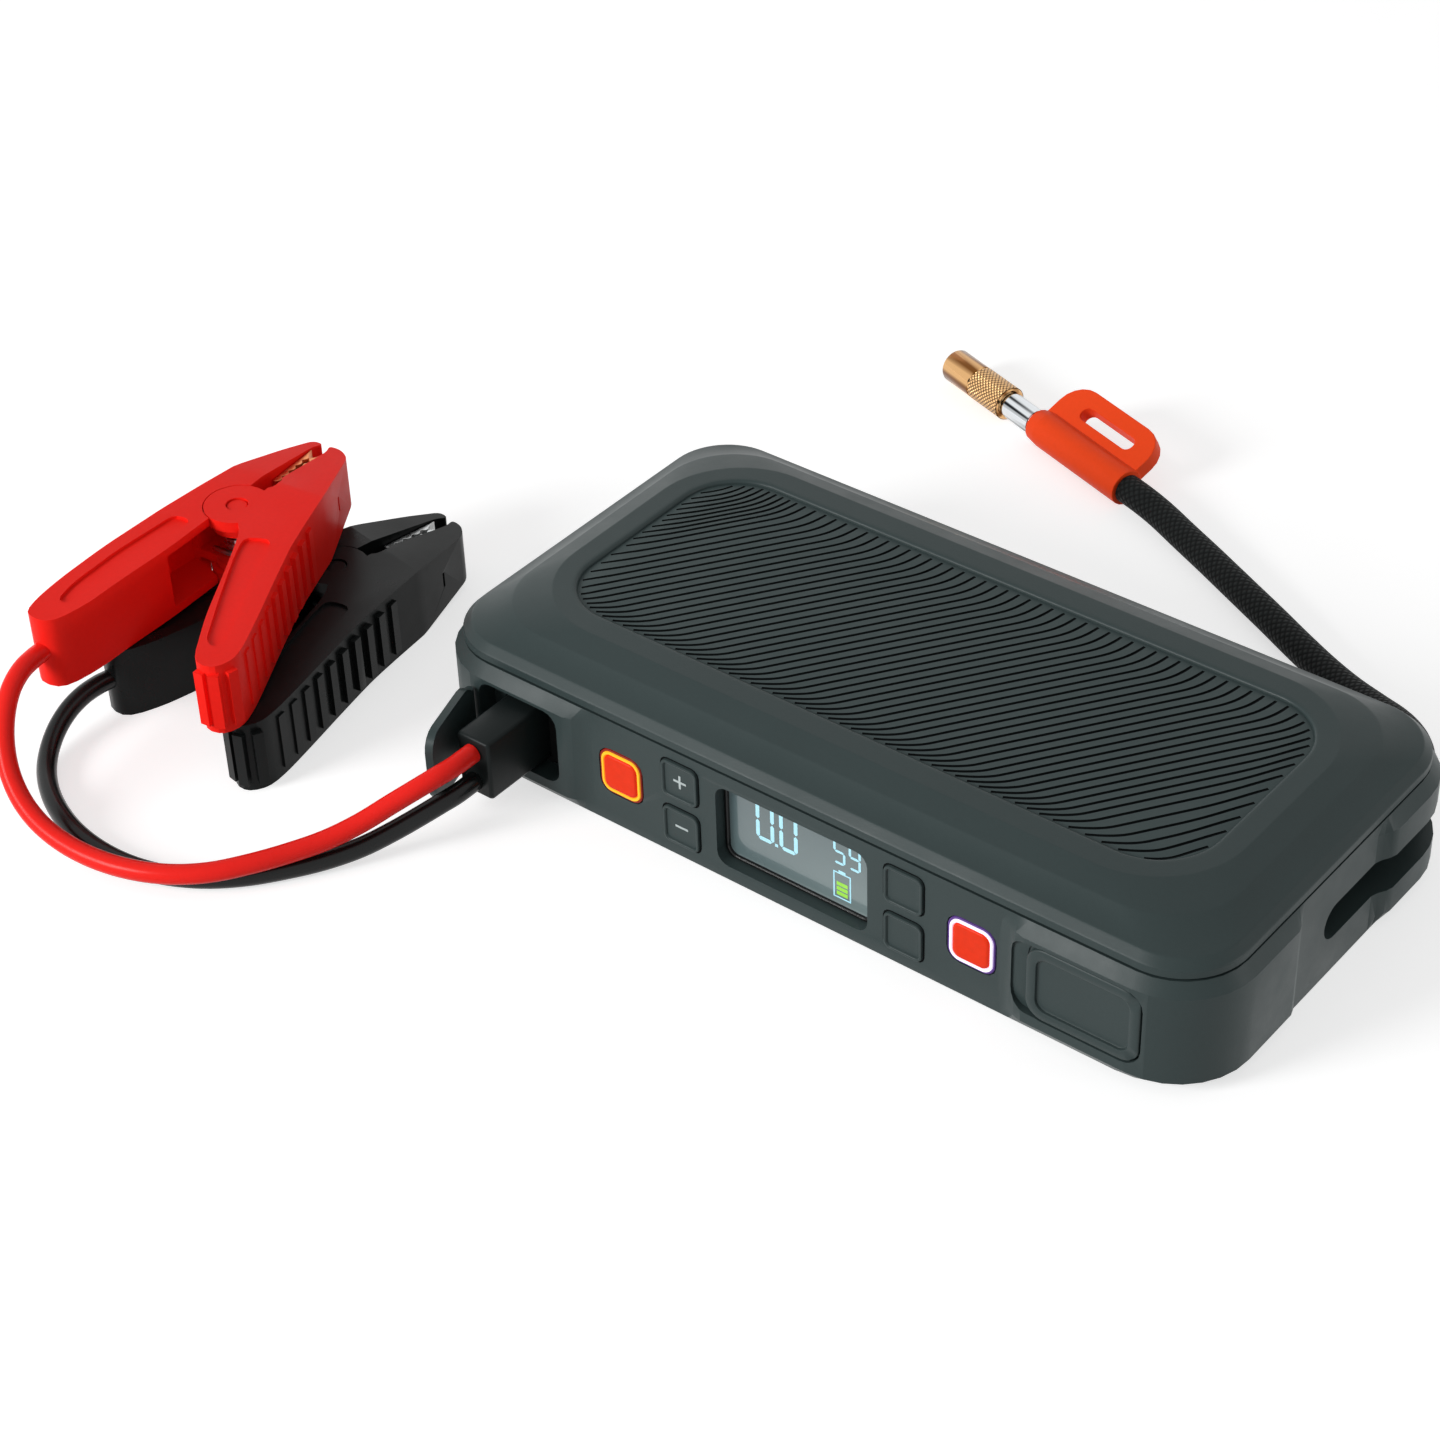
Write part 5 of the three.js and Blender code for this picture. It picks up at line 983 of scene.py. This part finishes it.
RIGID = [
    # node, material, slot, rounding, segments
    ("port_cover", "slate_button", "trim_plastic", 0.5, 3),
    ("jump_socket", "rubber", "black_rubber", 0.3, 2),
    ("usb_block", "black", "black_plastic", 0.2, 2),
    ("usb_a_socket", "steel", "socket_steel", 0.08, 2),
    ("usb_c_socket", "steel", "socket_steel", 0.08, 2),
    ("hose_gland", "black", "black_plastic", 0.3, 2),
    ("hose_sleeve", "orange_tab", "orange_plastic", 0.8, 4),
    ("hose_ferrule", "chrome", "chrome", 0.15, 3),
]
for color, metal_name, metal_slot in (("red", "copper", "copper"), ("black", "tin", "tinned_steel")):
    plastic = color + "_clamp"
    plastic_slot = color + "_plastic"
    RIGID += [
        (color + "_cable_handle", plastic, plastic_slot, 1.2, 4),
        (color + "_moving_handle", plastic, plastic_slot, 1.2, 4),
        (color + "_cable_jaw", metal_name, metal_slot, 0.1, 2),
        (color + "_moving_jaw", metal_name, metal_slot, 0.1, 2),
        (color + "_pivot_pin", plastic, plastic_slot, 0.3, 3),
        (color + "_spring", "steel", "spring_steel", 0, 0),
    ]
for node, material, slot, width, segments in RIGID:
    stands_for(finished(node, material, width, segments), node)

CHUCK_PROFILE = [  # radius, distance from the chuck's foot
    (2.7, 0), (4.6, 0), (5.0, 0.4), (5.0, 14.3), (4.8, 14.5), (4.8, 14.8), (5.15, 15.1), (5.15, 26.8),
    (4.9, 27.4), (4.5, 27.6), (3.9, 27.3), (3.9, 18.6), (1, 18.6), (1, 6.6), (2.7, 6.3), (2.7, 0),
]
CHUCK_SIDES = 64
KNURL = (0.5, 14.3, 5.2)  # from, to, radius
KNURL_STEPS = 28
CHUCK_FROM = 54.9  # the chuck's foot along the hose end


def end_place(axial, radius, angle):
    """A point about the hose end's axis."""
    ahead = Vector((math.cos(END_HEADING), math.sin(END_HEADING), 0))
    side = Vector((-ahead.y, ahead.x, 0))
    out = side * math.cos(angle) + Vector((0, 0, 1)) * math.sin(angle)
    return END_ORIGIN + ahead * axial + out * radius


def make_chuck():
    """The turned chuck, and a tube over it that carries the knurl."""
    rings = [[tuple(end_place(CHUCK_FROM + t, radius, 2 * math.pi * k / CHUCK_SIDES))
              for k in range(CHUCK_SIDES)] for radius, t in CHUCK_PROFILE]
    turned = stack("brass_chuck_shape", rings, "brass", sharp=28, caps=OPEN)
    stands_for(turned, "brass_chuck")
    first, last, radius = KNURL
    line = [end_place(CHUCK_FROM + first + (last - first) * k / KNURL_STEPS, 0, 0)
            for k in range(KNURL_STEPS + 1)]
    knurl = tube("brass_chuck_knurl", line, radius, "knurl", CHUCK_SIDES)
    added(knurl, "brass_chuck")
    return knurl


chuck_knurl = make_chuck()

# ------------------------------------------------------------------ inside and underneath

PLAIN = {
    "control_board": "board", "main_board": "board", "battery_pack": "foil", "compressor_motor": "steel",
    "gearbox_plate": "aluminium", "motor_pinion": "pin_brass", "crank_gear": "nylon",
    "compressor_cylinder": "aluminium", "piston": "nylon", "air_pipe": "rubber", "display_module": "frame",
    "plug_contact_positive": "pin_brass", "plug_contact_negative": "pin_brass",
}
for place in ("front_left", "front_right", "rear_left", "rear_right"):
    PLAIN["case_screw_" + place] = "steel"
    PLAIN["rubber_foot_" + place] = "rubber"
for node, material in PLAIN.items():
    mesh = frame["nodes"][node].data
    mesh.materials.clear()
    mesh.materials.append(MATERIALS[material])

# ------------------------------------------------------------------ floor and light

FLOOR_HALF = 6000
FLOOR_TONE = 0.62
FLOOR_GLOW = (1.05, 1.65)  # near the pack and far from it
FLOOR_FADE = (0.9, 2.2)  # metres from the middle, where the glow starts and ends its rise
AMBIENT = 0.36  # the world's strength as light, and below as a backdrop
BACKDROP = 1.0
LIGHTS = [  # name, place, size, power
    ("key", (-0.72, -1.45, 0.72), 0.7, 23),
    ("back", (-1.3, 0.8, 0.5), 0.8, 1.2),
    ("right", (1.5, 0.6, 0.2), 0.4, 4),
]
LIT_POINT = Vector((0, -0.02, 0.02))


def seen_rays(tree):
    """1 for rays from the camera, off a gloss or through glass, and 0 for the others."""
    path = tree.nodes.new("ShaderNodeLightPath")
    seen = path.outputs["Is Camera Ray"]
    for name in ("Is Glossy Ray", "Is Transmission Ray"):
        either = tree.nodes.new("ShaderNodeMath")
        either.operation = "MAXIMUM"
        tree.links.new(seen, either.inputs[0])
        tree.links.new(path.outputs[name], either.inputs[1])
        seen = either.outputs[0]
    return seen


def make_floor():
    """A pale floor that takes the shadow and glows for seen rays."""
    n = Nodes("floor")
    n.set(Roughness=0.9, Specular_IOR_Level=0.1)
    speck = n.span(n.noise(40, 2), 0.985, 1.0)
    pale = n.add("ShaderNodeHueSaturation", {"Color": (FLOOR_TONE, FLOOR_TONE, FLOOR_TONE, 1),
                                                "Value": speck})
    n.link(pale.outputs["Color"], "Base Color")
    n.link(pale.outputs["Color"], "Emission Color")
    reach = n.add("ShaderNodeVectorMath", {0: n.coords}, operation="LENGTH").outputs["Value"]
    glow = n.span(reach, *FLOOR_GLOW, *FLOOR_FADE)
    n.link(n.math("MULTIPLY", seen_rays(n.tree), glow), "Emission Strength")
    h = FLOOR_HALF
    floor = mesh_from("floor", [(-h, -h, 0), (h, -h, 0), (h, h, 0), (-h, h, 0)], [(0, 1, 2, 3)], None)
    floor.data.materials.append(n.material)


def make_world():
    """A white backdrop for seen rays, and a dimmer light from all round."""
    world = bpy.data.worlds.new("studio")
    bpy.context.scene.world = world
    world.use_nodes = True
    tree = world.node_tree
    background = tree.nodes["Background"]
    background.inputs["Color"].default_value = (1, 1, 1, 1)
    strength = tree.nodes.new("ShaderNodeMapRange")
    tree.links.new(seen_rays(tree), strength.inputs["Value"])
    strength.inputs["To Min"].default_value = AMBIENT
    strength.inputs["To Max"].default_value = BACKDROP
    tree.links.new(strength.outputs["Result"], background.inputs["Strength"])


def make_light(name, place, size, power):
    """A round soft light, turned to the pack."""
    data = bpy.data.lights.new(name, "AREA")
    data.shape = "DISK"
    data.size = size
    data.energy = power
    light = bpy.data.objects.new(name, data)
    light.location = place
    light.rotation_euler = (LIT_POINT - Vector(place)).to_track_quat("-Z", "Y").to_euler()
    bpy.context.scene.collection.objects.link(light)


make_floor()
make_world()
for light in LIGHTS:
    make_light(*light)
bpy.context.scene.view_settings.view_transform = "Standard"
